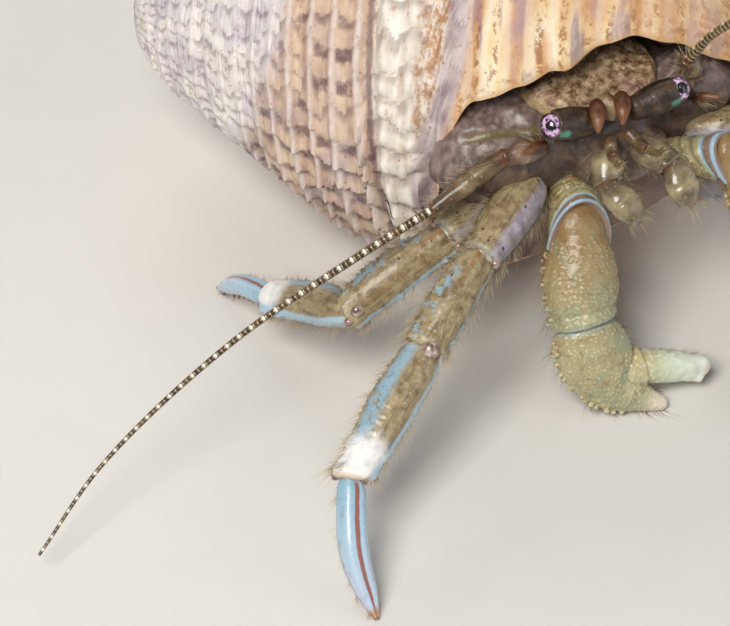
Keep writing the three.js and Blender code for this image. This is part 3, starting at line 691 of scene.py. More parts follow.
def build_shell(finish):
    """The shell as patches that share their borders: outside, lip, hollow, columella and tips."""
    spire_rows, mouth_rows, columns = 150, 90, 350
    rear = LIP_REAR * (np.arange(1, spire_rows) / spire_rows) ** 1.12
    mouth = np.linspace(LIP_REAR, SHELL_LENGTH, mouth_rows + 1)
    along = np.r_[0.0, rear, mouth]
    back = np.linspace(0, 1, columns + 1)
    gap = np.where(along > LIP_REAR, inner_lip_at(along) - outer_lip_at(along), 0)
    gap = np.maximum(gap, 0)     # degrees that the opening leaves free
    s = np.repeat(along[:, None], columns + 1, 1)
    degrees = outer_lip_at(along)[:, None] - back * (360 - gap)[:, None]
    grown = growth_side(s, degrees)
    height, crest, scale = shell_relief(s, grown)
    edge = lip_edge(s, degrees) * (s > LIP_REAR)
    open_side = smoothstep(s, LIP_REAR, LIP_REAR + 0.5)
    ends = lerp(1.0, (smoothstep(back, 0, 0.02) * smoothstep(1 - back, 0, 0.02))[None, :], open_side)
    radius = shell_radius(s, degrees) + height * lerp(1.0, 0.55, 1 - ends)
    radius -= 0.16 * edge**4 * open_side
    scallop = 0.5 * value_noise(np.stack([s * 0.9, s * 0, s * 0], -1), 1.0, 31)
    shift = (0.6 * scallop + 0.16 * (crest - 0.5)) * edge * open_side
    outer_degrees = degrees + np.degrees(shift / np.maximum(radius, 3))
    outer = shell_point(s, outer_degrees, radius)

    steps = 46
    v = np.linspace(0, 1, steps + 1) ** 1.5
    u = np.linspace(0, 1, mouth_rows + 1)
    near = LIP_REAR + 0.6 * smoothstep(v, 0, 0.3)
    far = lerp(SHELL_LENGTH, 25.5, v**0.8)
    inner_s = near[:, None] + (far - near)[:, None] * u
    lip = outer_lip_at(inner_s)
    inner_degrees = lerp(lip, FAR_TURN, v[:, None])
    edge_shift = np.degrees(shift[spire_rows:, 0] / np.maximum(radius[spire_rows:, 0], 3))
    inner_degrees += edge_shift[None, :] * (1 - smoothstep(v, 0, 0.05))[:, None]
    wall = lerp(0.12, LIP_WALL, smoothstep(v, 0, 0.03))
    wall = lerp(wall, WALL, smoothstep(v, 0.03, 0.3))[:, None]
    lip_radius = radius[spire_rows:, 0]
    smooth_roof = shell_radius(inner_s, np.minimum(inner_degrees, lip - 0.3)) - wall
    roof = lerp(lip_radius - 0.12, smooth_roof, smoothstep(v, 0, 0.05)[:, None])
    floor_deep = shell_floor(inner_s, inner_degrees)
    corner = (1 - np.clip(1 - u / 0.14, 0, 1) ** 4) ** 0.25
    front = (1 - np.clip(1 - (1 - u) / 0.14, 0, 1) ** 4) ** 0.25
    front = lerp(1.0, front[None, :], smoothstep(v, 0.05, 0.25)[:, None])
    round_off = np.maximum(corner[None, :] * front, 1 - smoothstep(v, 0, 0.06)[:, None])
    round_off = np.where(u[None, :] == 0, 0, round_off)
    roof = lerp(floor_deep, roof, round_off)
    inner = shell_point(inner_s, inner_degrees, roof)

    open_steps = 26
    w = np.linspace(0, 1, open_steps + 1)[:, None]
    open_degrees = lerp(inner_lip_at(mouth)[None, :], outer_lip_at(mouth)[None, :], w)
    open_degrees = open_degrees + edge_shift[None, :] * w**4
    open_s = np.repeat(mouth[None, :], open_steps + 1, 0)
    base = shell_floor(open_s, open_degrees)
    start = radius[spire_rows:, -1]
    base = lerp(start[None, :], base, smoothstep(w, 0, 0.12) * np.ones_like(base))
    floor_open = shell_point(open_s, open_degrees, base)
    floor_in = shell_point(inner_s, inner_degrees, floor_deep)

    blocks, faces, values = [], [], {"axial": [], "cord": [], "turn": [], "crest": [], "scale": [],
                                     "past": [], "inside": [], "lip": []}
    count = 0

    def add(points, s, degrees, inside, crest=0.0, scale=0.0, edge=0.0):
        nonlocal count
        rows, cols = points.shape[:2]
        blocks.append(points.reshape(-1, 3))
        faces.append(grid_faces(rows, cols, first=count))
        count += rows * cols
        past = s - last_suture(degrees)
        cord = CORDS * whorl(s, degrees)
        for key, numbers in zip(values, (s, cord, degrees, crest, scale, past, inside, edge)):
            values[key].append((numbers * np.ones_like(s)).ravel())

    add(outer, s, grown, 0.0, crest, scale, edge)
    add(inner[::-1], inner_s[::-1], inner_degrees[::-1], 1.0,
        edge=1 - smoothstep(v[::-1], 0, 0.1)[:, None])
    rim = np.stack([outer[spire_rows:, 0], inner[0]])
    add(rim, np.stack([mouth, mouth]), np.stack([degrees[spire_rows:, 0]] * 2), 0.5, edge=1.0)
    add(floor_open, open_s, open_degrees, 1.0)
    add(floor_in, inner_s, inner_degrees, 1.0)
    far_wall = np.stack([inner[:, -1], floor_in[:, -1]])
    add(far_wall, np.stack([inner_s[:, -1]] * 2), np.stack([inner_degrees[:, -1]] * 2), 1.0)
    deep = np.stack([inner[-1], floor_in[-1]])
    add(deep, np.stack([inner_s[-1]] * 2), np.stack([inner_degrees[-1]] * 2), 1.0)
    tip = SHELL_APEX + shell_axis * (SHELL_LENGTH + 0.25)
    cap = lerp(outer[-1][None], tip, np.linspace(0, 1, 5)[:, None, None])
    add(cap, np.full(cap.shape[:2], SHELL_LENGTH), np.stack([degrees[-1]] * 5), 0.0)
    out = np.linspace(0, 1, 9)[:, None, None]
    start_cap = lerp(SHELL_APEX, outer[0][None], out) - shell_axis * 0.4 * (1 - out**2)
    add(start_cap, np.zeros(start_cap.shape[:2]), np.stack([degrees[0]] * 9), 0.0)
    points = np.vstack(blocks)
    points[:, 2] = np.maximum(points[:, 2], 0.0)
    piece = show("snail_shell", points, np.vstack(faces), finish, "shell", ["shell"],
                 {key: np.concatenate(parts) for key, parts in values.items()})
    weld(piece, 0.004)


SHARP_EDGE = math.radians(55)


def weld(piece, distance):
    """Joins the patches of a piece along their shared borders and turns all faces outwards."""
    mesh = piece.data
    work = bmesh.new()
    work.from_mesh(mesh)
    bmesh.ops.remove_doubles(work, verts=work.verts, dist=distance * MM)
    bmesh.ops.dissolve_degenerate(work, edges=work.edges, dist=distance * MM * 0.2)
    bmesh.ops.recalc_face_normals(work, faces=work.faces)
    work.to_mesh(mesh)
    work.free()
    mesh.shade_smooth()
    mesh.set_sharp_from_angle(angle=SHARP_EDGE)


# ------------------------------------------------------------------ finishes
FINISHES = {}                    # finishes already made, by name


SUTURE_SLOPE = 0.0144            # mm that the last suture climbs in one degree


def shell_finish(name):
    """Worn lilac spire, scaly tan band, cream band, a body whorl streaked with brown, and painted shade
    in the hollow and between the scales.
    """
    f = Finish(name, Subsurface_Weight=0.12, Subsurface_Scale=0.6 * MM,
               Subsurface_Radius=(1.0, 0.6, 0.4), Specular_IOR_Level=0.45)
    axial, cord, turn, crest, scale, past, inside, lip = (
        f.attribute(name)
        for name in ("axial", "cord", "turn", "crest", "scale", "past", "inside", "lip")
    )
    spiral = axial - (turn - 45.0) * SUTURE_SLOPE
    soft, fine, grit = f.noise(2.2, 4), f.noise(0.55, 4, 0.65), f.noise(0.16, 3, 0.7)

    def streaks(across, lengthwise, detail, roughness=0.6, shift=0.0):
        """Noise drawn out along the cords, from the cords' number and the turn round the axis."""
        at = f.joined(cord * across, turn * lengthwise)
        return f.noise(1.0, detail, roughness, at=at, shift=shift)

    streak, dash = streaks(2.0, 0.07, 5), streaks(5.0, 0.3, 4, 0.7, shift=4.0)

    lilac_grey = soft.ramp((0.28, tone(172, 160, 172)), (0.42, tone(212, 204, 208)),
                           (0.58, tone(232, 226, 220)), (0.72, tone(202, 196, 186)))
    thread = streaks(9.0, 0.05, 4, shift=15.0)
    worn = (thread.over(0.5, 0.62) * 0.7).mix(lilac_grey, tone(238, 233, 228))
    worn = (thread.over(0.44, 0.36) * 0.5).mix(worn, tone(158, 144, 150))
    worn = (fine.over(0.6, 0.7) * 0.7).mix(worn, tone(146, 132, 130))
    worn = f.noise(1.3, 3, shift=9.0).over(0.6, 0.75).mix(worn, tone(190, 158, 178))

    row = (turn / 9.0 + (soft - 0.5) * 0.5 + dash * 0.2).wave()
    tan = streak.ramp((0.3, tone(170, 142, 132)), (0.46, tone(202, 174, 152)),
                      (0.6, tone(216, 194, 172)), (0.75, tone(192, 172, 170)))
    tan = (soft.over(0.46, 0.64) * 0.6).mix(tan, tone(172, 152, 158))
    tan = (thread.over(0.55, 0.66) * 0.4).mix(tan, tone(224, 206, 188))
    tan = ((turn + 40.0).near(60.0, 60.0) * soft.over(0.38, 0.55) * 0.4).mix(tan, tone(222, 178, 130))
    blotch = streaks(0.6, 0.05, 2, 0.5, shift=2.0).over(0.42, 0.58)
    blotch = row.over(0.5, 0.85) * (1 - crest.over(0.1, 0.6)) * blotch * fine.over(0.3, 0.5)
    tan = (blotch * 0.8).mix(tan, tone(106, 80, 84))
    tan = (crest.over(0.3, 0.95) * dash.over(0.3, 0.55) * 0.75).mix(tan, tone(222, 210, 208))
    tan = (scale.over(0.7, 1.0) * 0.4).mix(tan, tone(230, 206, 182))

    cream = streak.ramp((0.32, tone(204, 188, 176)), (0.46, tone(228, 219, 207)),
                        (0.64, tone(240, 236, 229)))
    cream = (dash.over(0.56, 0.68) * 0.7).mix(cream, tone(186, 142, 100))
    # painted shade: darker at the start of each scale, in the step under the overlap of the one before
    cream = (scale.over(0.3, 0.0) * 0.4).mix(cream, tone(150, 128, 116))
    stained = (dash + streak * 0.4).over(0.6, 0.8).mix(tone(226, 214, 198), tone(178, 124, 76))

    broad = streaks(0.9, 0.012, 3, 0.5, shift=7.0)
    body = (broad + (soft - 0.5) * 0.3).ramp(
        (0.3, tone(170, 140, 138)), (0.38, tone(208, 164, 122)), (0.46, tone(228, 202, 154)),
        (0.54, tone(234, 218, 190)), (0.61, tone(216, 176, 132)), (0.7, tone(188, 136, 92)),
    )
    ribs = (cord * 2.0 + (streak - 0.5) * 0.5).wave()
    body = (ribs.over(0.5, 0.95) * 0.4).mix(body, tone(238, 226, 206))
    lane = ((cord * 2.0 + 0.5) + (streak - 0.5) * 0.35).wave().over(0.55, 0.95)
    rust = (dash + (fine - 0.5) * 0.6).over(0.46, 0.56) * lane * broad.over(0.3, 0.46)
    body = (rust * 0.85).mix(body, tone(158, 106, 62))
    lilac_streak = streaks(1.7, 0.02, 3, shift=12.0)
    violet = streak.ramp((0.35, tone(116, 92, 110)), (0.6, tone(178, 152, 158)))
    body = (lilac_streak.over(0.54, 0.62) * 0.75).mix(body, violet)
    peach = (turn - 20.0).over(24.0, 0.0) * 0.5
    body = peach.mix(body, tone(216, 166, 122))

    jag = (fine - 0.5) * 1.3 + (soft - 0.5) * 2.4
    tan_side = axial + turn.math("MAXIMUM", turn - 48.0, 0.0) * 0.05 + jag
    f.colour = tan_side.over(10.4, 12.0).mix(worn, tan)
    f.paint((spiral + jag * 0.15).over(16.3, 16.7), cream)
    f.paint((spiral + jag * 0.35).over(18.7, 19.4) * 0.9, stained)
    lilac_strip = soft.ramp((0.4, tone(164, 146, 152)), (0.6, tone(204, 190, 188)))
    f.paint((past + jag * 0.2).over(-1.1, -0.6), lilac_strip)
    f.paint((past + jag * 0.2).over(-0.1, 0.5), body)
    # painted shade: dark purple-brown in the hollows between the scales, where each scale tucks under
    # the one before
    groove = (1 - crest) * scale.over(0.25, 0.0) * (1 - past.over(-0.5, 0.5))
    f.paint(groove * (0.5 - (spiral.near(17.6, 1.6) * 0.25)), tone(98, 78, 84))
    seam = (spiral + (fine - 0.5) * 0.3).near(16.3, 0.26).over(0.0, 0.8) * 0.65
    f.paint(seam, tone(90, 70, 84))
    flecks = f.spots(0.8, 0.12, soft=0.06, seed_shift=7.0) * (soft + fine * 0.5).over(0.7, 0.85)
    flecks = flecks * axial.over(7.0, 11.0)
    f.paint(flecks * 0.8, tone(160, 106, 66))
    pits = (f.cells(0.7) + (fine - 0.5) * 0.2).over(0.1, 0.02)
    pits = pits * f.noise(2.0, 2, shift=5.0).over(0.55, 0.6)
    f.paint(pits * 0.85, tone(62, 52, 52))
    dust = f.noise(0.3, 2, shift=17.0).over(0.62, 0.7) * soft.over(0.42, 0.6)
    f.paint(dust * 0.5, tone(150, 118, 88))
    stain = f.noise(3.2, 3, shift=21.0).over(0.66, 0.74)
    f.paint(stain * 0.35, tone(150, 150, 110))
    rim = lip.over(0.78, 1.0)
    f.paint(rim * 0.6, tone(206, 158, 104))
    # painted shade: the inside of the shell is its porcelain tone, darkened to brownish violet as
    # painted shade of the hollow
    porcelain_and_shade = soft.ramp((0.3, tone(116, 92, 90)), (0.5, tone(158, 134, 126)),
                          (0.7, tone(146, 112, 90)))
    f.paint(inside.over(0.6, 0.9) * (1 - rim), porcelain_and_shade)
    f.paint(lip.near(0.45, 0.4) * fine.over(0.45, 0.6) * 0.5, tone(150, 104, 70))
    polished = inside.over(0.4, 0.9)
    roughness = (0.42 + 0.3 * fine) * (1 - polished) + 0.22 * polished
    relief = grit * 0.5 + fine * 0.8 - pits * 1.2 + dash * 0.4
    return f.finished(roughness, relief * (1 - inside * 0.8), depth=0.07)


def chosen(name):
    """A colour from the panel."""
    return tuple(getattr(bpy.context.scene.hermit_colours, name))


def made_once(name, maker, *values):
    """The finish of that name, made the first time it is asked for."""
    if name not in FINISHES:
        FINISHES[name] = maker(name, *values)
    return FINISHES[name]


def cuticle(name, weight, reach, tints, coat, coat_roughness, **more):
    """A finish that light enters to about `reach` mm, under a clear coat."""
    return Finish(name, Subsurface_Weight=weight, Subsurface_Scale=reach * MM, Subsurface_Radius=tints,
                  Coat_Weight=coat, Coat_Roughness=coat_roughness, **more)


def leg_base(f, deg):
    """Olive cuticle, mottled, with fine lengthwise strokes."""
    along = f.attribute("along")
    mottle, fine = f.noise(0.6, 5, 0.65), f.noise(0.2, 3, 0.65)
    f.colour = mottle.ramp((0.3, chosen("deep_olive")), (0.42, chosen("olive")),
                           (0.6, chosen("pale_olive")))
    stroke = f.noise(1.0, 3, 0.6, at=f.joined(along * 5.0, deg * 0.11), shift=5.0)
    f.paint(stroke.over(0.56, 0.63) * 0.5, tone(84, 62, 42))
    f.paint(stroke.over(0.42, 0.34) * 0.35, tone(178, 160, 116))
    f.paint(fine.over(0.62, 0.72) * 0.6, chosen("cream"))
    return along, mottle, fine


def leg_gloss(f, mottle, fine):
    """Roughness and relief of a leg's cuticle, and how high the relief stands."""
    pores = f.spots(0.42, 0.16, soft=0.08)
    return 0.3 + 0.22 * mottle, fine * 0.8 + f.noise(0.5, 2) * 0.8 - pores * 0.5, 0.03


def merus_finish(name):
    """Olive, with a spotted lavender face and sky-blue lines along both edges."""
    f = cuticle(name, 0.16, 0.5, (1.0, 0.7, 0.45), 0.22, 0.2)
    deg = f.degrees()
    along, mottle, fine = leg_base(f, deg)
    jag = (mottle - 0.5) * 46.0
    face = (deg + jag * 0.5).over(34.0, 52.0)
    lavender = f.noise(0.7, 4).ramp((0.35, tone(126, 118, 128)), (0.6, tone(172, 164, 174)))
    dashes = f.noise(1.0, 2, at=f.joined(along * 16.0, deg * 0.07), shift=3.0).over(0.6, 0.68)
    lavender = (dashes * 0.7).mix(lavender, tone(176, 152, 112))
    spots = f.spots(0.6, 0.2, soft=0.05)
    lavender = spots.mix(lavender, tone(48, 36, 34))
    sockets = f.spots(0.55, 0.2, soft=0.05, seed_shift=9.0) * mottle.over(0.4, 0.5)
    f.paint(sockets * 0.85, tone(50, 36, 26))
    f.paint(face, lavender)
    f.paint((deg + jag * 0.2).near(122.0, 16.0), chosen("sky"))
    f.paint(deg.near(-112.0, 14.0) * mottle.over(0.4, 0.6), chosen("sky"))
    end = (along + (fine - 0.5) * 0.03).over(0.93, 0.98)
    f.paint(end * 0.5, tone(166, 166, 150))
    return f.finished(*leg_gloss(f, mottle, fine))


def carpus_finish(name):
    """Olive, with broken blue patches on top and pale blue edges."""
    f = cuticle(name, 0.14, 0.5, (1.0, 0.7, 0.45), 0.22, 0.2)
    deg = f.degrees()
    along, mottle, fine = leg_base(f, deg)
    patchy = f.noise(0.55, 3, 0.6, shift=6.0)
    blue = (deg.near(-22.0, 34.0) * 1.6).clamped() * patchy.over(0.5, 0.58) * along.over(0.04, 0.14)
    f.paint(blue * 0.8, chosen("sky"))
    stripe = (deg + (mottle - 0.5) * 20.0).near(16.0, 13.0).over(0.1, 0.9) * along.over(0.5, 0.15)
    f.paint(stripe * 0.55, tone(142, 96, 48))
    edge = (deg + (mottle - 0.5) * 26.0).near(116.0, 24.0).over(0.1, 0.6)
    f.paint(edge * 0.9, chosen("pale_sky"))
    far = deg.near(-128.0, 22.0).over(0.1, 0.6) * patchy.over(0.42, 0.5)
    f.paint(far * 0.8, chosen("sky"))
    tip = along.over(0.9, 0.97) * patchy.over(0.35, 0.5)
    f.paint(tip * 0.7, tone(196, 186, 150))
    f.paint(f.spots(1.0, 0.1, soft=0.04, seed_shift=3.0), tone(104, 46, 30))
    return f.finished(*leg_gloss(f, mottle, fine))


def propodus_finish(name):
    """Olive, banded with blue lengthwise, with a porcelain-white far end."""
    f = cuticle(name, 0.18, 0.5, (1.0, 0.8, 0.6), 0.35, 0.14)
    deg = f.degrees()
    along, mottle, fine = leg_base(f, deg)
    patchy = f.noise(0.42, 3, 0.65, shift=8.0)
    wander = (f.noise(1.4, 2, shift=1.0) - 0.5) * 30.0
    band = (deg + wander).near(-20.0, 36.0).over(0.1, 0.7)
    band = band * (patchy + (fine - 0.5) * 0.25).over(0.3, 0.48)
    f.paint(band * 0.92, chosen("sky"))
    margin = (deg + wander * 0.4).near(108.0, 28.0).over(0.1, 0.4)
    f.paint(margin * 0.9, chosen("pale_sky"))
    far = (deg + wander).near(-128.0, 28.0).over(0.15, 0.5) * patchy.over(0.36, 0.45)
    f.paint(far * 0.9, chosen("sky"))
    speck = f.spots(0.34, 0.2, soft=0.08) * band
    f.paint(speck * 0.55, tone(84, 78, 66))
    start = (along + (patchy - 0.5) * 0.12 + deg.near(24.0, 60.0) * 0.05).over(0.66, 0.84)
    white = (f.noise(0.6, 3) - deg.over(50.0, 90.0) * 0.3).ramp(
        (0.2, tone(164, 194, 214)), (0.4, tone(228, 226, 224)), (0.6, tone(240, 238, 234)))
    f.paint(start, white)
    f.paint((along + (fine - 0.5) * 0.02).over(0.97, 0.995) * 0.7, tone(216, 190, 150))
    f.paint(along.over(0.05, 0.02) * 0.7, tone(196, 178, 132))
    return f.finished(*leg_gloss(f, mottle, fine))


def dactyl_finish(name):
    """Pale blue toe with red-brown stripes and a horn tip."""
    f = cuticle(name, 0.25, 0.5, (0.8, 0.9, 1.0), 0.4, 0.12)
    deg = f.degrees()
    along = f.attribute("along")
    soft, fine = f.noise(0.8, 3), f.noise(0.2, 3, 0.6)
    f.colour = (along + (soft - 0.5) * 0.3).ramp(
        (0.0, tone(140, 178, 198)), (0.4, tone(164, 194, 212)), (0.8, tone(184, 198, 220)))
    wobble = (soft - 0.5) * 7.0 + (along - 0.5) * 8.0
    stripe = (deg + wobble).near(12.0, 13.0).over(0.1, 0.5) * along.over(0.01, 0.04)
    f.paint(stripe * 0.9, chosen("red_brown"))
    back = ((deg + wobble).near(-122.0, 17.0) + deg.near(158.0, 15.0)).over(0.2, 0.5)
    f.paint(back * 0.8, chosen("red_brown"))
    edge = (deg + wobble).near(-72.0, 8.0).over(0.2, 0.6) * along.over(0.35, 0.6)
    f.paint(edge * 0.6, tone(186, 122, 78))
    f.paint(along.over(0.03, 0.0) * 0.7, tone(206, 170, 150))
    f.paint((along + (soft - 0.5) * 0.04).over(0.88, 0.94), tone(176, 128, 76))
    f.paint(along.over(0.96, 0.995), tone(88, 52, 30))
    f.paint((deg.near(40.0, 16.0) + deg.near(-22.0, 18.0)) * 0.35, tone(206, 222, 238))
    return f.finished(0.2 + 0.16 * soft, fine + soft, depth=0.02)


def claw_finish(name, ringed=False, pale=0.0):
    """Granular claw cuticle: olive, going to greenish cream towards the fingers."""
    f = cuticle(name, 0.14, 0.5, (1.0, 0.8, 0.5), 0.2, 0.28)
    deg = f.degrees()
    along, grain = f.attribute("along"), f.attribute("grain")
    mottle, fine = f.noise(1.1, 5, 0.62), f.noise(0.2, 3, 0.7)
    level = mottle * 0.5 + along * 0.22 + pale if pale else mottle * 0.6 + along * 0.36
    f.colour = level.ramp(
        (0.2, tone(140, 112, 72)), (0.36, tone(150, 127, 86)), (0.54, tone(162, 147, 107)),
        (0.7, tone(178, 172, 134)), (0.88, tone(204, 196, 158)))
    green = (f.noise(1.3, 3, shift=14.0) + along * 0.2).over(0.56, 0.72)
    f.paint(green * 0.5, tone(134, 144, 118))
    f.paint(f.noise(0.5, 3, shift=4.0).over(0.56, 0.66) * 0.4, tone(112, 84, 54))
    if ringed:
        ring = (along * 7.0 + (mottle - 0.5) * 1.2).wave()
        f.paint(ring.over(0.5, 0.9) * 0.45, tone(74, 62, 44))
        f.paint(along.over(0.82, 0.88), tone(142, 118, 106))
        rim = (along + (fine - 0.5) * 0.02).near(0.965, 0.03).over(0.1, 0.6)
        f.paint(rim * 0.9, tone(150, 186, 206))
        inner = (along + (fine - 0.5) * 0.02).near(0.84, 0.035).over(0.2, 0.7)
        f.paint(inner * 0.8, tone(140, 180, 202))
        face = deg.near(105.0, 40.0).over(0.1, 0.6)
        f.paint(face * 0.4, tone(150, 148, 140))
    elif pale:
        tip = (along + (mottle - 0.5) * 0.08).over(0.78, 0.92)
        f.paint(tip, tone(216, 204, 184))
        start = along.over(0.07, 0.02) * fine.over(0.35, 0.55)
        f.paint(start * 0.8, tone(168, 186, 186))
        warm = deg.near(90.0, 60.0) * along.near(0.5, 0.25)
        f.paint(warm * 0.6, tone(196, 168, 120))
        f.paint(deg.near(50.0, 50.0) * along.near(0.2, 0.18) * 0.45, tone(132, 160, 140))
    else:
        hinge = (along + (mottle - 0.5) * 0.04).over(0.96, 0.985)
        f.paint(hinge * 0.7, tone(160, 178, 180))
    f.paint(grain.over(0.15, 0.9) * 0.5, tone(218, 208, 166))
    return f.finished(0.22 + 0.2 * mottle, fine + 0.7 * f.noise(0.5, 3), depth=0.035)


def finger_finish(name):
    """Smooth greenish-white cuticle of the fingers."""
    f = cuticle(name, 0.25, 0.6, (1.0, 0.9, 0.7), 0.35, 0.15)
    along, grain = f.attribute("along"), f.attribute("grain")
    soft, fine = f.noise(0.8, 4), f.noise(0.18, 3, 0.65)
    f.colour = (along + (soft - 0.5) * 0.5).ramp(
        (-0.1, tone(186, 168, 124)), (0.22, tone(192, 192, 156)), (0.45, tone(204, 212, 190)),
        (0.9, tone(220, 226, 214)))
    f.paint(f.noise(0.45, 3, shift=2.0).over(0.58, 0.7) * 0.35, tone(168, 190, 168))
    f.paint(grain * 0.5, tone(238, 238, 222))
    f.paint(along.over(0.93, 1.0) * 0.5, tone(226, 204, 184))
    return f.finished(0.24 + 0.16 * soft, fine + soft, depth=0.025)


def flesh_finish(name):
    """Dark streaked skin of the soft body; its front is painted near black, partly darker skin and
    partly painted shade under the shield and between the mouthparts.
    """
    f = cuticle(name, 0.4, 0.8, (1.0, 0.55, 0.45), 0.25, 0.22)
    broad, soft, fine = f.noise(3.4, 3), f.noise(1.1, 4, 0.6), f.noise(0.25, 3, 0.65)
    f.colour = broad.ramp((0.3, tone(66, 48, 40)), (0.45, tone(104, 82, 76)),
                          (0.58, tone(138, 118, 114)), (0.7, tone(130, 108, 86)))
    streak = f.noise(1.0, 3, 0.5, at=f.vector("MULTIPLY", f.place, (2.8, 2.8, 0.6)), shift=3.0)
    f.paint(streak.over(0.46, 0.68) * 0.45, tone(172, 156, 148))
    f.paint(streak.over(0.48, 0.3) * 0.5, tone(70, 50, 46))
    f.paint(soft.over(0.54, 0.75) * 0.5, tone(74, 48, 44))
    seam = f.attribute("seam")
    f.paint(seam.over(0.3, 0.8) * 0.85, tone(112, 98, 56))
    # painted shade: near black at the front of the body, partly darker skin and partly shade under the
    # shield and between the mouthparts
    head = f.attribute("head")
    deep = soft.ramp((0.35, tone(34, 22, 16)), (0.5, tone(66, 46, 34)), (0.66, tone(112, 88, 68)))
    f.paint(head * 0.9, deep)
    f.paint(fine.over(0.62, 0.72) * 0.12, tone(206, 190, 176))
    return f.finished(0.3 + 0.25 * soft, fine * 0.6 + soft + streak * 0.6, depth=0.06)


def shield_finish(name):
    """Blotched brown and cream cuticle."""
    f = cuticle(name, 0.12, 0.5, (1.0, 0.6, 0.45), 0.2, 0.25)
    blot, fine, warm = f.noise(0.6, 6, 0.72), f.noise(0.2, 3, 0.7), f.noise(1.9, 3, shift=5.0)
    f.colour = blot.ramp((0.36, tone(58, 40, 27)), (0.45, tone(116, 88, 60)),
                         (0.53, tone(164, 134, 104)), (0.64, tone(206, 184, 154)))
    f.paint(warm.over(0.52, 0.68) * 0.35, tone(190, 146, 140))
    f.paint(warm.over(0.44, 0.32) * 0.5, tone(122, 104, 62))
    f.paint(fine.over(0.6, 0.7) * 0.55, tone(78, 54, 38))
    edge = f.attribute("edge")
    f.paint(edge.over(0.4, 0.9) * 0.6, tone(176, 152, 112))
    return f.finished(0.32 + 0.25 * blot, fine + blot * 1.5, depth=0.06)


def stalk_finish(name):
    """Near-black stalk with a green patch below the eye."""
    f = Finish(name, Subsurface_Weight=0.1, Subsurface_Scale=0.4 * MM, Coat_Weight=0.25,
               Coat_Roughness=0.15)
    along, deg = f.attribute("along"), f.degrees()
    soft, fine = f.noise(0.55, 4, 0.6), f.noise(0.15, 2)
    f.colour = soft.ramp((0.3, tone(26, 17, 11)), (0.5, tone(52, 36, 22)), (0.68, tone(88, 66, 40)))
    under = (deg + (soft - 0.5) * 26.0).near(92.0, 26.0).over(0.1, 0.7)
    under = under * (along + (fine - 0.5) * 0.1).near(0.87, 0.15).over(0.1, 0.6)
    f.paint(under * 0.85, tone(78, 144, 124))
    f.paint(along.over(0.94, 0.99) * 0.7, tone(126, 104, 84))
    return f.finished(0.38 + 0.2 * soft, soft + fine, depth=0.03)


def cornea_finish(name, centre, direction):
    """Polished eye: a dark middle in a broken pink-lilac ring, seen round one direction."""
    f = Finish(name, Coat_Weight=1.0, Coat_Roughness=0.02, Specular_IOR_Level=0.7)
    outwards = f.vector("NORMALIZE", f.vector("SUBTRACT", f.place, tuple(centre)))
    facing = f.vector("DOT_PRODUCT", outwards, tuple(direction), output="Value")
    soft, blots = f.noise(0.3, 3, 0.6), f.noise(0.2, 2, 0.5, shift=4.0)
    away = 1 - facing + (soft - 0.5) * 0.16
    ring = away.over(0.07, 0.14) * away.over(0.62, 0.42)
    f.colour = blots.ramp((0.4, tone(40, 18, 44)), (0.47, tone(168, 124, 172)),
                          (0.62, tone(222, 190, 222)))
    f.colour = ring.mix(tone(12, 6, 14), f.colour)
    facets = f.cells(0.045)
    return f.finished(0.12 + 0.1 * soft, facets, depth=0.004)


def amber_finish(name, dark=0.0):
    """Dark horn of the small scales and thorns."""
    f = cuticle(name, 0.25, 0.4, (1.0, 0.5, 0.2), 0.12, 0.25)
    along = f.attribute("along")
    soft = f.noise(0.5, 4)
    f.colour = (along * 0.5 + soft * 0.8 - dark).ramp(
        (0.3, tone(38, 22, 13)), (0.55, tone(84, 48, 27)), (0.8, tone(124, 80, 46)))
    return f.finished(0.36 + 0.15 * soft, soft + f.noise(0.15, 2) * 0.4, depth=0.03)


def glassy_finish(name, low, middle, high, clear=0.7):
    """Clear horn-like cuticle of the mouthparts and the feelers' bases."""
    f = Finish(name, Subsurface_Weight=0.35, Subsurface_Scale=0.7 * MM, Coat_Weight=clear,
               Coat_Roughness=0.2 - 0.18 * clear, Transmission_Weight=0.3 * clear, IOR=1.42)
    soft, fine = f.noise(0.9, 4, 0.55), f.noise(0.2, 3)
    along = f.attribute("along")
    level = soft * 0.7 + along.near(0.5, 0.45) * 0.22 + 0.05
    f.colour = level.ramp((0.3, low), (0.5, middle), (0.7, high))
    ends = along.over(0.9, 0.98) + along.over(0.1, 0.02)
    f.paint(ends * 0.5, tone(120, 70, 38))
    f.paint(fine.over(0.62, 0.7) * 0.4, tone(214, 206, 176))
    return f.finished(0.4 - 0.4 * clear + 0.2 * soft, soft + fine * 0.5, depth=0.03)


def flagellum_finish(name):
    """Ringed feeler: dark and cream rings, with a bright bead on every third one."""
    f = Finish(name, Subsurface_Weight=0.15, Subsurface_Scale=0.3 * MM, Coat_Weight=0.4,
               Coat_Roughness=0.12)
    ring, deg = f.attribute("ring"), f.degrees()
    index = ring.floor()
    inside = ring - index
    third = index.math("MODULO", index, 3.0)
    dark = f.noise(0.5, 2).ramp((0.4, tone(52, 38, 24)), (0.65, tone(98, 76, 48)))
    cream_end = inside.over(0.66, 0.86)
    f.colour = (cream_end * 0.7).mix(dark, tone(172, 154, 114))
    bead = third.math("LESS_THAN", third, 0.5) * inside.near(0.5, 0.4).over(0.05, 0.6)
    bead = bead * deg.near(118.0, 66.0).over(0.05, 0.6)
    f.paint(bead, tone(240, 236, 222))
    return f.finished(0.25, f.noise(0.15, 2), depth=0.01)


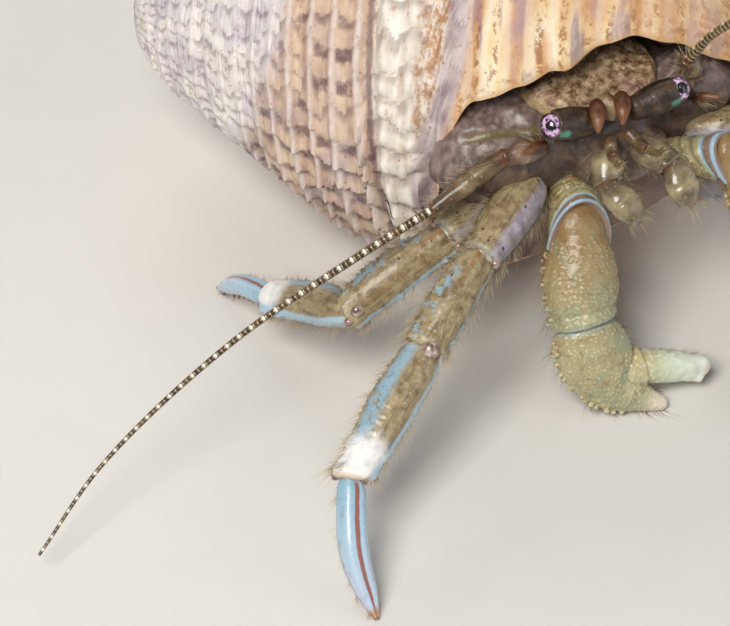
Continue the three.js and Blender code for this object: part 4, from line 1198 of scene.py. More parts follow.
def membrane_finish(name):
    """Moist skin over the joints."""
    f = Finish(name, Subsurface_Weight=0.4, Subsurface_Scale=0.6 * MM, Coat_Weight=0.4,
               Coat_Roughness=0.15)
    soft = f.noise(0.5, 4)
    f.colour = soft.ramp((0.35, tone(108, 86, 72)), (0.5, tone(152, 132, 114)),
                         (0.65, tone(182, 172, 160)))
    return f.finished(0.2 + 0.2 * soft, soft, depth=0.03)


def condyle_finish(name):
    """Polished knobs of the hinges."""
    f = Finish(name, Metallic=0.15, Coat_Weight=0.8, Coat_Roughness=0.06)
    soft = f.noise(0.35, 3)
    f.colour = soft.ramp((0.35, tone(112, 84, 74)), (0.5, tone(160, 132, 122)),
                         (0.62, tone(196, 180, 172)))
    return f.finished(0.16 + 0.1 * soft, soft, depth=0.01)


def bristle_finish(name, root, tip):
    """Horn of one colour at the root and another at the tip."""
    f = Finish(name, Subsurface_Weight=0.2, Subsurface_Scale=0.2 * MM, Specular_IOR_Level=0.6)
    along = f.attribute("along")
    f.colour = (along + (f.noise(0.8, 2) - 0.5) * 0.4).over(0.1, 0.8).mix(root, tip)
    return f.finished(0.35 + 0.1 * along)


# ------------------------------------------------------------------ bristles
class Coat:
    """Bristles of one piece: thin bent cones, with the unwrap of the plates they stand on."""

    def __init__(self, charts, seed):
        self.charts, self.rng = charts, np.random.default_rng(seed)
        self.points, self.faces, self.uvs, self.along, self.count = [], [], [], [], 0

    def add(self, tube, chart, count, degrees, width, length, radius=0.02, lean=0.8,
            along=(0.05, 0.95), clump=1, curl=0.25):
        """Roots `count` tufts of `clump` bristles each on a plate, near a line round it."""
        rng = self.rng
        t = rng.uniform(*along, count)
        angle = degrees + width * rng.normal(size=count)
        t, angle = np.repeat(t, clump), np.repeat(angle, clump)
        if clump > 1:
            t = t + rng.normal(size=len(t)) * 0.12 / tube.length
            angle = angle + rng.normal(size=len(t)) * 5.0
        t = np.clip(t, 0.0, 1.0)
        roots, normals, forward = tube.sample(t, angle)
        place = np.stack([(chart + 0.06 + 0.88 * t) / self.charts, (angle / 360 + 0.5) % 1.0], -1)
        self.grow(roots, normals, forward, place, length, radius, lean, curl)

    def grow(self, roots, normals, forward, place, length, radius, lean, curl):
        """Makes one bent three-sided cone at each root."""
        rng, count = self.rng, len(roots)
        scale = bpy.context.scene.hermit_sizes
        long = rng.uniform(*length, count)[:, None] * scale.bristle_length
        start = unit(normals + forward * lean + rng.normal(size=(count, 3)) * 0.22)
        bend = forward * curl + rng.normal(size=(count, 3)) * 0.12
        aside = unit(np.cross(start, rng.normal(size=(count, 3))))
        other = np.cross(start, aside)
        thick = radius * rng.uniform(0.7, 1.3, count)[:, None] * scale.bristle_thickness
        roots = roots - normals * 0.03
        stations, corners = np.array([0.0, 0.35, 0.7]), 2 * np.pi * np.arange(3) / 3
        rings = []
        patches = []
        for s in stations:
            middle = roots + start * long * s + bend * long * s * s
            for angle in corners:
                spoke = aside * math.cos(angle) + other * math.sin(angle)
                rings.append(middle + spoke * thick * (1 - 0.8 * s))
                patches.append(place + 0.0015 * (1 - s) * np.array([math.cos(angle), math.sin(angle)]))
        rings.append(roots + start * long + bend * long)
        patches.append(place)
        points = np.stack(rings, 1)
        patches = np.stack(patches, 1)
        faces = [(0, 2, 1)]
        for ring in range(2):
            for i in range(3):
                a, b = ring * 3 + i, ring * 3 + (i + 1) % 3
                faces += [(a, b, b + 3), (a, b + 3, a + 3)]
        faces += [(6 + i, 6 + (i + 1) % 3, 9) for i in range(3)]
        faces = np.array(faces)
        every = faces[None] + (self.count + 10 * np.arange(count))[:, None, None]
        self.points.append(points.reshape(-1, 3))
        self.faces.append(every.reshape(-1, 3))
        self.uvs.append(patches[:, faces].reshape(-1, 2))
        self.along.append(np.tile(np.r_[np.repeat(stations, 3), 1.0], count))
        self.count += 10 * count

    def show(self, name, finish, slot):
        points = np.vstack(self.points)
        points[:, 2] = np.maximum(points[:, 2], 0.01)
        return show(name, points, np.vstack(self.faces), finish, slot,
                    values={"along": np.concatenate(self.along)}, uvs=np.vstack(self.uvs))


# ------------------------------------------------------------------ walking legs
LEG_PARTS = ("merus", "carpus", "propodus", "dactyl")
LEG_SHAPES = {
    "merus": {"wide": (0.85, 1.2, 1.15, 0.95), "deep": (0.9, 1.3, 1.2, 1.0), "bow": 0.2, "rings": 110},
    "carpus": {"wide": (0.9, 1.05, 1.1, 0.95), "deep": (0.95, 1.05, 1.1, 1.0), "bow": 0.25, "rings": 96},
    "propodus": {"wide": (1.0, 1.2, 1.15, 0.95), "deep": (0.95, 1.1, 1.0, 0.85), "bow": 0.1,
                 "rings": 130},
    "dactyl": {"wide": (0.7, 0.77, 0.75, 0.6, 0.13), "deep": (0.7, 0.75, 0.7, 0.54, 0.13),
               "bow": 0.45, "rings": 120},
}


def leg_relief(tube, part, seed):
    """Ridges, rugae, rims and pimples of one plate of a walking leg."""
    t, around = tube.along, tube.around
    run = t * tube.length
    seen = np.stack([run / 0.3, around / 26.0, np.full_like(run, seed)], -1)
    rugae = value_noise(seen, 1.0, seed) * 0.5 + 0.5
    fine = tube.noise(0.25, seed + 1)
    broad = tube.noise(1.3, seed + 2)
    height = 0.02 * smoothstep(rugae, 0.45, 0.8) + 0.012 * fine + 0.05 * broad
    if part == "merus":
        height += 0.09 * tube.band(122, 12) + 0.06 * tube.band(-112, 14) + 0.05 * tube.band(28, 16)
    if part == "carpus":
        height += 0.04 * tube.band(8, 24) + 0.06 * tube.band(116, 16) - 0.07 * tube.band(60, 26)
    if part == "propodus":
        stripes = np.sin(2 * np.pi * (run / 0.3 + 0.8 * tube.noise(1.1, seed + 3)))
        stripes = smoothstep(stripes, 0.1, 0.9) * (1 - smoothstep(t, 0.68, 0.76))
        height += 0.012 * stripes * tube.band(40, 60) + 0.06 * tube.band(104, 18)
        height -= 0.05 * tube.band(76, 16)
        height += 0.04 * smoothstep(t, 0.7, 0.76)
    if part == "dactyl":
        height = height * 0.4 - 0.05 * tube.band(10, 18)
        height = height + 0.03 * tube.band(40, 18) + 0.03 * tube.band(-22, 18)
    else:
        height += 0.06 * smoothstep(t, 0.84, 0.95) * (1 - smoothstep(t, 0.965, 1.0) * 1.4)
        height -= 0.03 * smoothstep(t, 0.8, 0.85) * (1 - smoothstep(t, 0.85, 0.89))
    height -= 0.26 * (1 - smoothstep(run, -0.3, 0.55))
    tube.push(height)


def build_leg(number, side):
    """One walking leg: four plates, each with its own relief and markings."""
    joints = LEG_JOINTS[number, side]
    word = WORDS[side]
    for i, part in enumerate(LEG_PARTS):
        shape = LEG_SHAPES[part]
        last = part == "dactyl"
        slim = 0.8 if last and number == 2 else 1.0
        slimmed = [slim * size for size in shape["wide"]], [slim * size for size in shape["deep"]]
        tube = limb_tube(
            joints, i, *slimmed, shape["bow"], rings=shape["rings"], sides=64,
            swing=0.6 * side if last and number == 1 else 0.0, front=-side,
            lead=0.0 if i == 0 else 0.38, tail=0.0 if last else 0.12,
            blunt=(0.5, 0.05 if last else 0.22),
        )
        leg_relief(tube, part, 40 + 10 * number + i + (5 if side == LEFT else 0))
        if part == "carpus":
            granules(tube, 26, 0.16, 0.13, 60 + number, tube.band(-40, 16) + tube.band(108, 12) * 0.3)
        if part == "propodus":
            granules(tube, 40, 0.12, 0.06, 62 + number, tube.band(-60, 24) + tube.band(112, 16) * 0.5)
        tube.keep_above_floor()
        maker = {"merus": merus_finish, "carpus": carpus_finish, "propodus": propodus_finish,
                 "dactyl": dactyl_finish}[part]
        plate(f"leg_{number}_{part}_{word}", tube, "plate", made_once("leg_" + part, maker),
              "dactyl" if last else "leg")


# ------------------------------------------------------------------ claws
def claw_relief(tube, seed, rim=True):
    """Swellings of one plate of a claw; `rim` raises its far end, and "wrist" keeps its start full."""
    t, run = tube.along, tube.along * tube.length
    broad = tube.noise(1.5, seed)
    fine = tube.noise(0.3, seed + 1)
    height = 0.07 * broad + 0.015 * fine
    if rim:
        height += 0.14 * smoothstep(t, 0.86, 0.94) * (1 - smoothstep(t, 0.975, 1.0) * 0.8)
        height -= 0.06 * smoothstep(t, 0.8, 0.84) * (1 - smoothstep(t, 0.84, 0.88))
    if rim != "wrist":
        height -= 0.3 * (1 - smoothstep(run, -0.35, 0.6))
    tube.push(height)


def build_claw(side):
    """One claw: arm, wrist, hand, the knuckle under the finger, and the finger."""
    right = side == RIGHT
    word = WORDS[side]
    arm, palm, finger = (RIGHT_CLAW, RIGHT_PALM, RIGHT_FINGER) if right else (
        LEFT_CLAW, LEFT_PALM, LEFT_FINGER)
    size = 1.0 if right else LEFT_CLAW_SIZE
    joints = [*arm, palm[1]]
    grain_size = bpy.context.scene.hermit_sizes.claw_grain / MM
    grain = grain_size * (1.0 if right else 0.8)

    def scaled(*values):
        return [value * size for value in values]

    merus = limb_tube(joints, 0, scaled(0.9, 1.45, 1.6), scaled(1.0, 1.3, 1.45), across=ACROSS,
                      rings=120, sides=110, front=1, tail=0.15, blunt=(0.5, 0.2))
    claw_relief(merus, 81)
    arch = 0.6 - 2.2 * np.clip(np.cos(np.radians(merus.around)), 0, 1)
    arch = arch * size * smoothstep(merus.along, 0.05, 1.0)
    merus.points = merus.points + merus.face[:, None] * arch[..., None]
    grains = granules(merus, 220, grain * 0.8, 0.03, 82)
    plate(f"cheliped_merus_{word}", merus, "plate", made_once("claw_arm", claw_finish, True),
          "claw", grain=grains)
    carpus = limb_tube(joints, 1, scaled(1.4, 1.82, 1.88, 1.55), scaled(1.2, 1.55, 1.6, 1.35),
                       across=ACROSS, rings=210, sides=170, front=1, lead=1.9 * size, tail=0.15,
                       blunt=(1.6 * size, 0.22))
    claw_relief(carpus, 84, rim="wrist")
    grains = granules(carpus, 1100, grain, 0.045, 85, 0.25 + 0.75 * carpus.along)
    spines = granules(carpus, 50, grain * 1.2, 0.2, 86, carpus.band(100, 14) + carpus.band(-96, 14))
    plate(f"cheliped_carpus_{word}", carpus, "plate", made_once("claw_wrist", claw_finish),
          "claw", grain=np.maximum(grains * 0.55, spines))
    hand = Tube(palm, scaled(1.5, 1.9, 1.85, 1.35, 0.75, 0.3), scaled(1.3, 1.5, 1.4, 1.0, 0.6, 0.26),
                ACROSS, rings=230, sides=180, start_face=mitre(arm[1], palm[0], palm[1]), front=1,
                lead=0.5, blunt=(0.7, 0.3))
    claw_relief(hand, 87, rim=False)
    bare = 0.92 * hand.band(50, 70) * (1 - smoothstep(hand.along, 0.3, 0.5))
    bare = bare + 0.5 * smoothstep(hand.along, 0.6, 0.85)
    grains = granules(hand, 1300, grain * 0.9, 0.06, 88, 1 - bare)
    spines = granules(hand, 190, grain * 1.25, 0.2, 89, hand.band(180, 60) + hand.band(-98, 24),
                      along=(0.05, 0.75))
    hand.keep_above_floor()
    plate(f"cheliped_palm_{word}", hand, "plate", made_once("claw_hand", claw_finish, False, 0.32),
          "claw", grain=np.maximum(grains * 0.7, spines))
    inwards, outwards = np.array(palm[1]), unit(np.array(finger[1]) - finger[0])
    socket = np.array(finger[0]) + outwards * 0.42 * size
    knuckle = Tube([inwards, lerp(inwards, socket, 0.55), socket], scaled(0.9, 1.1, 1.0),
                   scaled(0.8, 1.05, 0.96), UPRIGHT, rings=90, sides=90, front=1, blunt=(0.5, 0.2))
    claw_relief(knuckle, 94, rim=False)
    knuckle.push(0.07 * smoothstep(knuckle.along, 0.7, 0.9))
    grains = granules(knuckle, 110, grain, 0.06, 95)
    knuckle.keep_above_floor()
    knuckle.show(f"cheliped_knuckle_{word}", made_once("claw_fingers", finger_finish), "claw",
                 along=knuckle.along * 0.12, grain=grains * 0.35)
    thumb = Tube(finger, scaled(0.92, 0.92, 0.82, 0.66), scaled(0.9, 0.82, 0.74, 0.56), UPRIGHT,
                 rings=120, sides=96, front=1, lead=0.95, tail=0.2, blunt=(0.4, 0.5))
    claw_relief(thumb, 90, rim=False)
    lobes = 0.17 * thumb.noise(0.5, 92) * smoothstep(thumb.along, 0.7, 0.95)
    thumb.push(lobes + 0.04 * thumb.noise(0.4, 93))
    grains = granules(thumb, 150, grain * 0.8, 0.03, 91, 1 - smoothstep(thumb.along, 0.3, 0.7))
    thumb.keep_above_floor()
    plate(f"cheliped_dactyl_{word}", thumb, "plate", made_once("claw_fingers", finger_finish),
          "fingers", grain=grains)


# ------------------------------------------------------------------ joints
def sphere_grid(rings, sides, top=0.0):
    """Points of a ball of radius 1 in rings, from `top` radians off one pole to the other."""
    tilt = np.linspace(top, math.pi - top, rings)[:, None]
    turn = 2 * np.pi * np.arange(sides) / sides
    return np.stack([np.sin(tilt) * np.cos(turn), np.sin(tilt) * np.sin(turn),
                     np.cos(tilt) * np.ones(sides)], -1)


def knobs(name, places, sizes, slot):
    """Small rounded hinge knobs, all of one piece."""
    rings, sides = 16, 24
    one = sphere_grid(rings, sides, 0.05)
    points, faces, count = [], [], 0
    for place, size in zip(places, sizes):
        points.append((place + one * size).reshape(-1, 3))
        faces += (grid_faces(rings, sides, closed=True) + count).tolist()
        faces.append((count + np.arange(sides)[::-1]).tolist())
        faces.append((count + (rings - 1) * sides + np.arange(sides)).tolist())
        count += rings * sides
    finish = made_once("hinge_knob", condyle_finish)
    weld(show(name, np.vstack(points), faces, finish, slot), 0.0005)


def joint_skin(name, joints, i, reach, size, across=None, sides=40, fold=0.05):
    """A ringed skin over joint `i` of a limb; gives the joint and the way across it."""
    before, joint, after = (np.array(joints[k], float) for k in (i - 1, i, i + 1))
    if across is None:
        across = unit(np.cross(UPRIGHT, unit(after - before)))
    path = [lerp(joint, before, reach[0]), joint, lerp(joint, after, reach[1])]
    tube = Tube(path, size, size, across, rings=30, sides=sides, blunt=(0.1, 0.1))
    tube.push(fold * np.sin(tube.along * 26.0))
    tube.show(name, made_once("joint_skin", membrane_finish), "flesh")
    return joint, across


def build_joints():
    """Skins over the joints of all limbs, with the hinge knobs beside them."""
    for (number, side), joints in LEG_JOINTS.items():
        word, places = WORDS[side], []
        for i, away in ((1, 0.9), (2, 0.84), (3, 0.8)):
            size = [0.72, 0.8, 0.78, 0.68] if i < 3 else [0.58, 0.58, 0.56, 0.5]
            joint, across = joint_skin(f"joint_skin_leg_{number}_{i}_{word}", joints, i,
                                       (0.1, 0.09), size)
            places += [joint + across * away, joint - across * away]
        places.append(np.array(joints[2]) + (-0.07 * side, -0.6, 0.54))
        sizes = [0.24] * 6 + [0.52 if number == 1 else 0.38]
        knobs(f"hinge_knobs_leg_{number}_{word}", places, sizes, "leg")
    for side, arm, palm, size in ((RIGHT, RIGHT_CLAW, RIGHT_PALM, 1.0),
                                  (LEFT, LEFT_CLAW, LEFT_PALM, LEFT_CLAW_SIZE)):
        word, places = WORDS[side], []
        for i, narrow in ((1, 0.7), (2, 1.0)):
            wide = [part * size * narrow for part in (1.1, 1.25, 1.2, 1.0)]
            joint, across = joint_skin(f"joint_skin_claw_{i}_{word}", [*arm, palm[1]], i, (0.14, 0.14),
                                       wide, ACROSS, sides=48, fold=0.06)
            places += [joint + across * 1.4 * size, joint - across * 1.4 * size]
        knobs(f"hinge_knobs_claw_{word}", places, [0.26 * size] * 4, "claw")


# ------------------------------------------------------------------ head
BODY_MASSES = [
    ((0, 3.8, 12.3), (3.9, 4.4, 2.3)), ((-4.5, 3.5, 11.9), (4.3, 3.3, 3.1)),
    ((3.4, 3.7, 12.0), (3.2, 3.0, 2.4)), ((0, 0.9, 13.1), (2.9, 1.5, 1.7)),
    ((0, 2.6, 10.4), (3.4, 2.2, 1.8)), ((0.5, 0.1, 12.2), (2.6, 1.3, 1.7)),
    ((5.4, 2.5, 13.3), (2.5, 2.1, 2.0)),
]
MELT_STEP = 0.13                 # how finely the masses are melted together
SEAM = np.array([(-8.0, 3.6, 12.4), (-6.85, 2.04, 14.13), (-5.2, 1.6, 14.3), (-3.68, 1.31, 14.14)])


def build_soft_body():
    """Thorax and tail as one skin: the masses are melted together, then folded and wrinkled."""
    points, faces, count = [], [], 0
    rings, sides = 40, 60
    for centre, size in BODY_MASSES:
        points.append((sphere_grid(rings, sides) * size + centre).reshape(-1, 3))
        faces.append(grid_faces(rings, sides, closed=True) + count)
        count += rings * sides
    t = np.linspace(0, 1, 9)
    path = shell_point(lerp(25.4, 22.2, t), lerp(34.0, -118.0, t), lerp(6.1, 5.4, t))
    tail = Tube(path, [2.4, 2.9, 2.7, 2.2, 1.5, 0.8], [2.2, 2.6, 2.4, 2.0, 1.4, 0.7], shell_axis,
                rings=60, sides=48, blunt=(1.0, 0.8))
    grid, quads = tail.closed()
    points.append(grid)
    melted = bpy.data.meshes.new("melted")
    melted.from_pydata(np.vstack(points).tolist(), [],
                       np.vstack(faces).tolist() + [[v + count for v in face] for face in quads])
    lump = added("melted", melted)
    remesh = lump.modifiers.new("melt", "REMESH")
    remesh.mode, remesh.voxel_size = "VOXEL", MELT_STEP
    smooth = lump.modifiers.new("soften", "SMOOTH")
    smooth.factor, smooth.iterations = 0.5, 14
    done = lump.evaluated_get(bpy.context.evaluated_depsgraph_get()).to_mesh()

    def read(key):
        numbers = np.empty(len(done.vertices) * 3)
        done.vertices.foreach_get(key, numbers)
        return numbers.reshape(-1, 3)

    places, outward = read("co"), read("normal")
    quads = [list(face.vertices) for face in done.polygons]
    bpy.data.objects.remove(lump)
    seam = np.full(len(places), 9.0)
    for a, b in zip(SEAM[:-1], SEAM[1:]):
        part = np.clip((places - a) @ (b - a) / np.sum((b - a) ** 2), 0, 1)
        seam = np.minimum(seam, np.linalg.norm(places - (a + part[:, None] * (b - a)), axis=1))
    seam = 1 - smoothstep(seam, 0.08, 0.42)
    folds = np.sin(places[:, 0] * 1.9 + places[:, 1] * 1.1 + value_noise(places, 1.8, 5) * 2.2)
    height = 0.1 * folds + 0.09 * value_noise(places, 0.9, 6) + 0.03 * value_noise(places, 0.3, 7)
    places = places + outward * (height - 0.12 * seam)[:, None]
    # painted shade: mask of the front of the body, which its finish paints near black, partly as shade
    # under the shield
    head = 1 - smoothstep(places[:, 1], 0.2, 1.8)
    show("soft_body_skin", places, quads, made_once("soft_skin", flesh_finish), "flesh",
         ["thorax", "abdomen"], {"seam": seam, "head": head})


def build_shield():
    """The hard front of the carapace: a low arched plate with grains, grooves and a small beak."""
    length, rows, columns = 6.6, 150, 170
    half_width = spread([2.35, 3.35, 3.7, 3.6, 3.1, 2.3])
    arch = spread([0.55, 0.85, 1.1, 1.2, 1.0, 0.6])
    t = np.linspace(0, 1, rows)[:, None]
    across = np.linspace(-1, 1, columns)[None, :]
    lift = np.sqrt(np.clip(1 - np.abs(across) ** 2.4, 0, 1))
    beak = 0.38 * np.exp(-((across / 0.16) ** 2))
    beak = beak + 0.22 * np.exp(-(((np.abs(across) - 0.72) / 0.13) ** 2))
    ahead = length * t - beak * (1 - t) ** 3 - 0.25 * (1 - across**2) * (1 - t) ** 4
    ahead = ahead - 0.6 * across**2 * t**3
    ends = np.minimum(np.clip(t / 0.05, 0, 1), np.clip((1 - t) / 0.07, 0, 1)) ** 0.5
    x = half_width(t) * across * (1 + 0.012 * np.sin(t * 23) + 0.01 * np.sin(t * 51))
    z = 14.8 - 0.45 * t**2 + arch(t) * lift * lerp(0.35, 1.0, ends)
    points = np.stack(np.broadcast_arrays(x, 0.75 + ahead, z), -1)
    blot = value_noise(points, 0.9, 13)
    bumps = value_noise(points, 0.34, 14)
    groove = np.exp(-(((t - 0.55 - 0.16 * np.cos(across * 3.0)) / 0.035) ** 2)) * smoothstep(
        np.abs(across), 0.12, 0.3)
    ridge = np.exp(-((across / 0.07) ** 2)) * (1 - smoothstep(t, 0.0, 0.4))
    grains = smoothstep(bumps, 0.15, 0.6) * (0.4 + 0.6 * smoothstep(np.abs(across), 0.2, 0.8))
    height = 0.1 * blot + 0.075 * grains - 0.14 * groove + 0.08 * ridge
    height += 0.1 * smoothstep(np.abs(across), 0.84, 0.93) + 0.08 * (1 - smoothstep(t, 0.02, 0.07))
    height = height * smoothstep(1 - np.abs(across), 0.0, 0.06)
    points[..., 2] += height
    under = points.copy()
    under[..., 2] = 14.7 - 0.45 * t**2 - 0.2 * lift
    bottom = grid_faces(rows, columns, first=rows * columns)[:, ::-1]
    faces = np.vstack([grid_faces(rows, columns), bottom])
    border = list(range(columns))
    border += [row * columns + columns - 1 for row in range(1, rows)]
    border += [(rows - 1) * columns + i for i in range(columns - 2, -1, -1)]
    border += [row * columns for row in range(rows - 2, 0, -1)]
    border = np.array(border)
    after = np.roll(border, -1)
    walls = np.stack([border, border + rows * columns, after + rows * columns, after], -1)
    edge = np.maximum(smoothstep(np.abs(across), 0.78, 1.0), 1 - smoothstep(t, 0.0, 0.08))
    edge = np.maximum(edge, smoothstep(t, 0.93, 1.0)) * np.ones((rows, columns))
    piece = show("shield_plate", np.stack([points, under]), np.vstack([faces, walls]),
                 made_once("shield", shield_finish), "carapace", ["shield"],
                 {"edge": np.stack([edge, edge])})
    weld(piece, 0.001)


def build_eyes():
    """Stalks, corneas and the small scales above their roots."""
    for side in (RIGHT, LEFT):
        word = WORDS[side]
        root, tip = np.array([0.72 * side, -0.05, 15.05]), np.array([3.43 * side, 0.0, 15.48])
        end = np.array([4.11 * side, -0.08, 15.54])
        wide = [0.6, 0.7, 0.8, 0.82, 0.76]
        stalk = Tube([root, (root + tip) / 2, tip], wide, wide, LENGTHWISE * side, rings=80, sides=64,
                     front=-side, blunt=(0.3, 0.16))
        stalk.push(0.04 * stalk.noise(0.8, 71) + 0.012 * stalk.noise(0.25, 72))
        plate(f"eyestalk_{word}", stalk, "skin", made_once("eyestalk", stalk_finish), "stalk")
        size = [0.66, 0.67, 0.6, 0.44, 0.16]
        eye = Tube([tip, (tip + end) / 2, end], size, size, LENGTHWISE, rings=70, sides=64,
                   lead=0.2, blunt=(0.12, 0.14))
        centre = lerp(tip, end, 0.35) + HEAD
        finish = cornea_finish(f"cornea_{word}", centre, unit(np.array([-0.2, -0.62, 0.74])))
        plate(f"cornea_{word}", eye, "eye", finish, "cornea")
        moved = np.array([-0.72, -0.16, -0.35]) if side == RIGHT else np.array([-0.38, -0.19, -0.25])
        path = [moved + (0.5 * side + 0.35, 0.62, 16.2), moved + (0.5 * side, -0.4, 16.3),
                moved + (0.5 * side - 0.35, -1.2, 15.8)]
        scale = Tube(path, [0.28, 0.42, 0.42, 0.3, 0.08], [0.25, 0.27, 0.27, 0.25, 0.08], ACROSS,
                     rings=60, sides=40, blunt=(0.25, 0.08))
        scale.push(0.03 * scale.band(0, 40) + 0.015 * scale.noise(0.3, 73))
        plate(f"ocular_acicle_{word}", scale, "scale", made_once("ocular_scale", amber_finish), "acicle")


# ------------------------------------------------------------------ feelers and mouthparts
RING_FLARE = 0.12                # how much wider each ring of a feeler ends
RING_SIDES = 14


def ringed(path, rings_across, thick, thin, across):
    """A feeler of many short rings, each a little wider at its far end."""
    count = rings_across * 7
    tube = Tube(path, [1.0, 1.0], [1.0, 1.0], across, rings=count, sides=RING_SIDES, blunt=(0.05, 0.12))
    ring = tube.t * rings_across
    part = ring - np.floor(ring)
    flare = 1 + RING_FLARE * (part**2 - 0.4) * (part < 0.97)
    size = lerp(thick, thin, np.clip(tube.t, 0, 1) ** 0.8) * flare
    spokes = tube.points - tube.centre[:, None]
    tube.points = tube.centre[:, None] + spokes * size[:, None, None]
    tube.wide, tube.deep = tube.wide * size, tube.deep * size
    return tube, np.repeat(ring[:, None], RING_SIDES, 1)


def build_feelers():
    """The long feelers with their thorns, and the short pair between them."""
    rings = bpy.context.scene.hermit_sizes.feeler_rings
    for side in (RIGHT, LEFT):
        word = WORDS[side]
        joints = [*ANTENNA_ROOT[side], ANTENNA[side][0], ANTENNA[side][1]]
        thick, thin = [0.56, 0.66, 0.64, 0.52], [0.5, 0.56, 0.46, 0.34]
        base = limb_tube(joints, 0, thick, thick, across=UPRIGHT, rings=60, sides=48, lead=0.2,
                         blunt=(0.3, 0.12))
        base.push(0.03 * base.noise(0.6, 74) + 0.06 * smoothstep(base.along, 0.8, 0.95))
        amber = made_once("feeler_base", glassy_finish, tone(60, 40, 30), tone(100, 74, 58),
                          tone(148, 122, 104), 0.3)
        plate(f"antenna_base_{word}", base, "plate", amber, "antenna")
        peduncle = limb_tube(joints, 1, thin, thin, across=UPRIGHT, rings=80, sides=48, lead=0.25,
                             blunt=(0.25, 0.1))
        joint = np.exp(-(((peduncle.along - 0.42) / 0.03) ** 2))
        peduncle.push(0.02 * peduncle.noise(0.5, 75) - 0.07 * joint)
        glassy = made_once("feeler_stem", glassy_finish, tone(58, 42, 28), tone(98, 76, 52),
                           tone(140, 120, 88), 0.3)
        plate(f"antenna_peduncle_{word}", peduncle, "plate", glassy, "antenna")
        feeler, ring = ringed(ANTENNA[side], rings, 0.25, 0.085, UPRIGHT)
        feeler.show(f"antenna_flagellum_{word}_rings", made_once("ringed_feeler", flagellum_finish),
                    "antenna", [f"antenna_flagellum_{word}_{i}" for i in (1, 2, 3)], ring=ring)
        PLATES[f"antenna_{word}"] = feeler
        root, tip = (np.array(p) for p in (
            ((-3.7, 0.1, 14.2), (-5.3, -0.35, 14.5)) if side == RIGHT else
            ((4.7, 0.6, 13.9), (5.7, -0.4, 14.5))))
        path = [root, (root + tip) / 2 + (0, 0, 0.12), tip]
        thorn = Tube(path, [0.28, 0.26, 0.07], [0.26, 0.25, 0.07], UPRIGHT, rings=50, sides=32,
                     blunt=(0.2, 0.06))
        plate(f"antennal_acicle_{word}", thorn, "thorn", made_once("thorn", amber_finish, 0.04),
              "acicle")
        size = [0.42, 0.36, 0.32, 0.32, 0.3]
        stem = Tube([(0.5 * side, -0.5, 14.15), (0.72 * side, -1.3, 13.95), (0.9 * side, -2.0, 14.0)],
                    size, size, ACROSS, rings=60, sides=36, blunt=(0.2, 0.1))
        stem.push(-0.05 * np.exp(-(((stem.along - 0.5) / 0.04) ** 2)))
        plate(f"antennule_{word}", stem, "stem", glassy, "stalk")
        path = [(0.92 * side, -2.1, 14.04), (1.1 * side, -2.75, 14.35), (1.25 * side, -3.2, 15.0)]
        whip, ring = ringed(path, 12, 0.24, 0.1, ACROSS)
        plate(f"antennule_flagellum_{word}", whip, "rings",
              made_once("ringed_feeler", flagellum_finish), "antenna", ring=ring)


def build_mouthparts():
    """The outer pair of mouthparts, each a stem and a blade."""
    clear = made_once("mouth_horn", glassy_finish, tone(88, 76, 60), tone(124, 110, 84),
                      tone(178, 164, 126), 0.55)
    for side in (RIGHT, LEFT):
        word = WORDS[side]
        joints = MAXILLIPED[side]
        stem = limb_tube(joints, 0, [0.7, 0.82, 0.74], [0.6, 0.7, 0.6], across=ACROSS, rings=70,
                         sides=44, lead=0.1, blunt=(0.3, 0.2))
        stem.push(0.03 * stem.noise(0.6, 76) + 0.05 * smoothstep(stem.along, 0.84, 0.95))
        plate(f"maxilliped_{word}", stem, "stem", clear, "mouthparts")
        palp = limb_tube(joints, 1, [0.55, 0.84, 0.82, 0.4], [0.5, 0.62, 0.58, 0.32], 0.15, ACROSS,
                         rings=70, sides=44, lead=0.2, blunt=(0.3, 0.3))
        joint = np.exp(-(((palp.along - 0.5) / 0.035) ** 2))
        palp.push(0.02 * palp.noise(0.5, 77) - 0.06 * joint)
        plate(f"maxilliped_palp_{word}", palp, "blade", clear, "mouthparts")


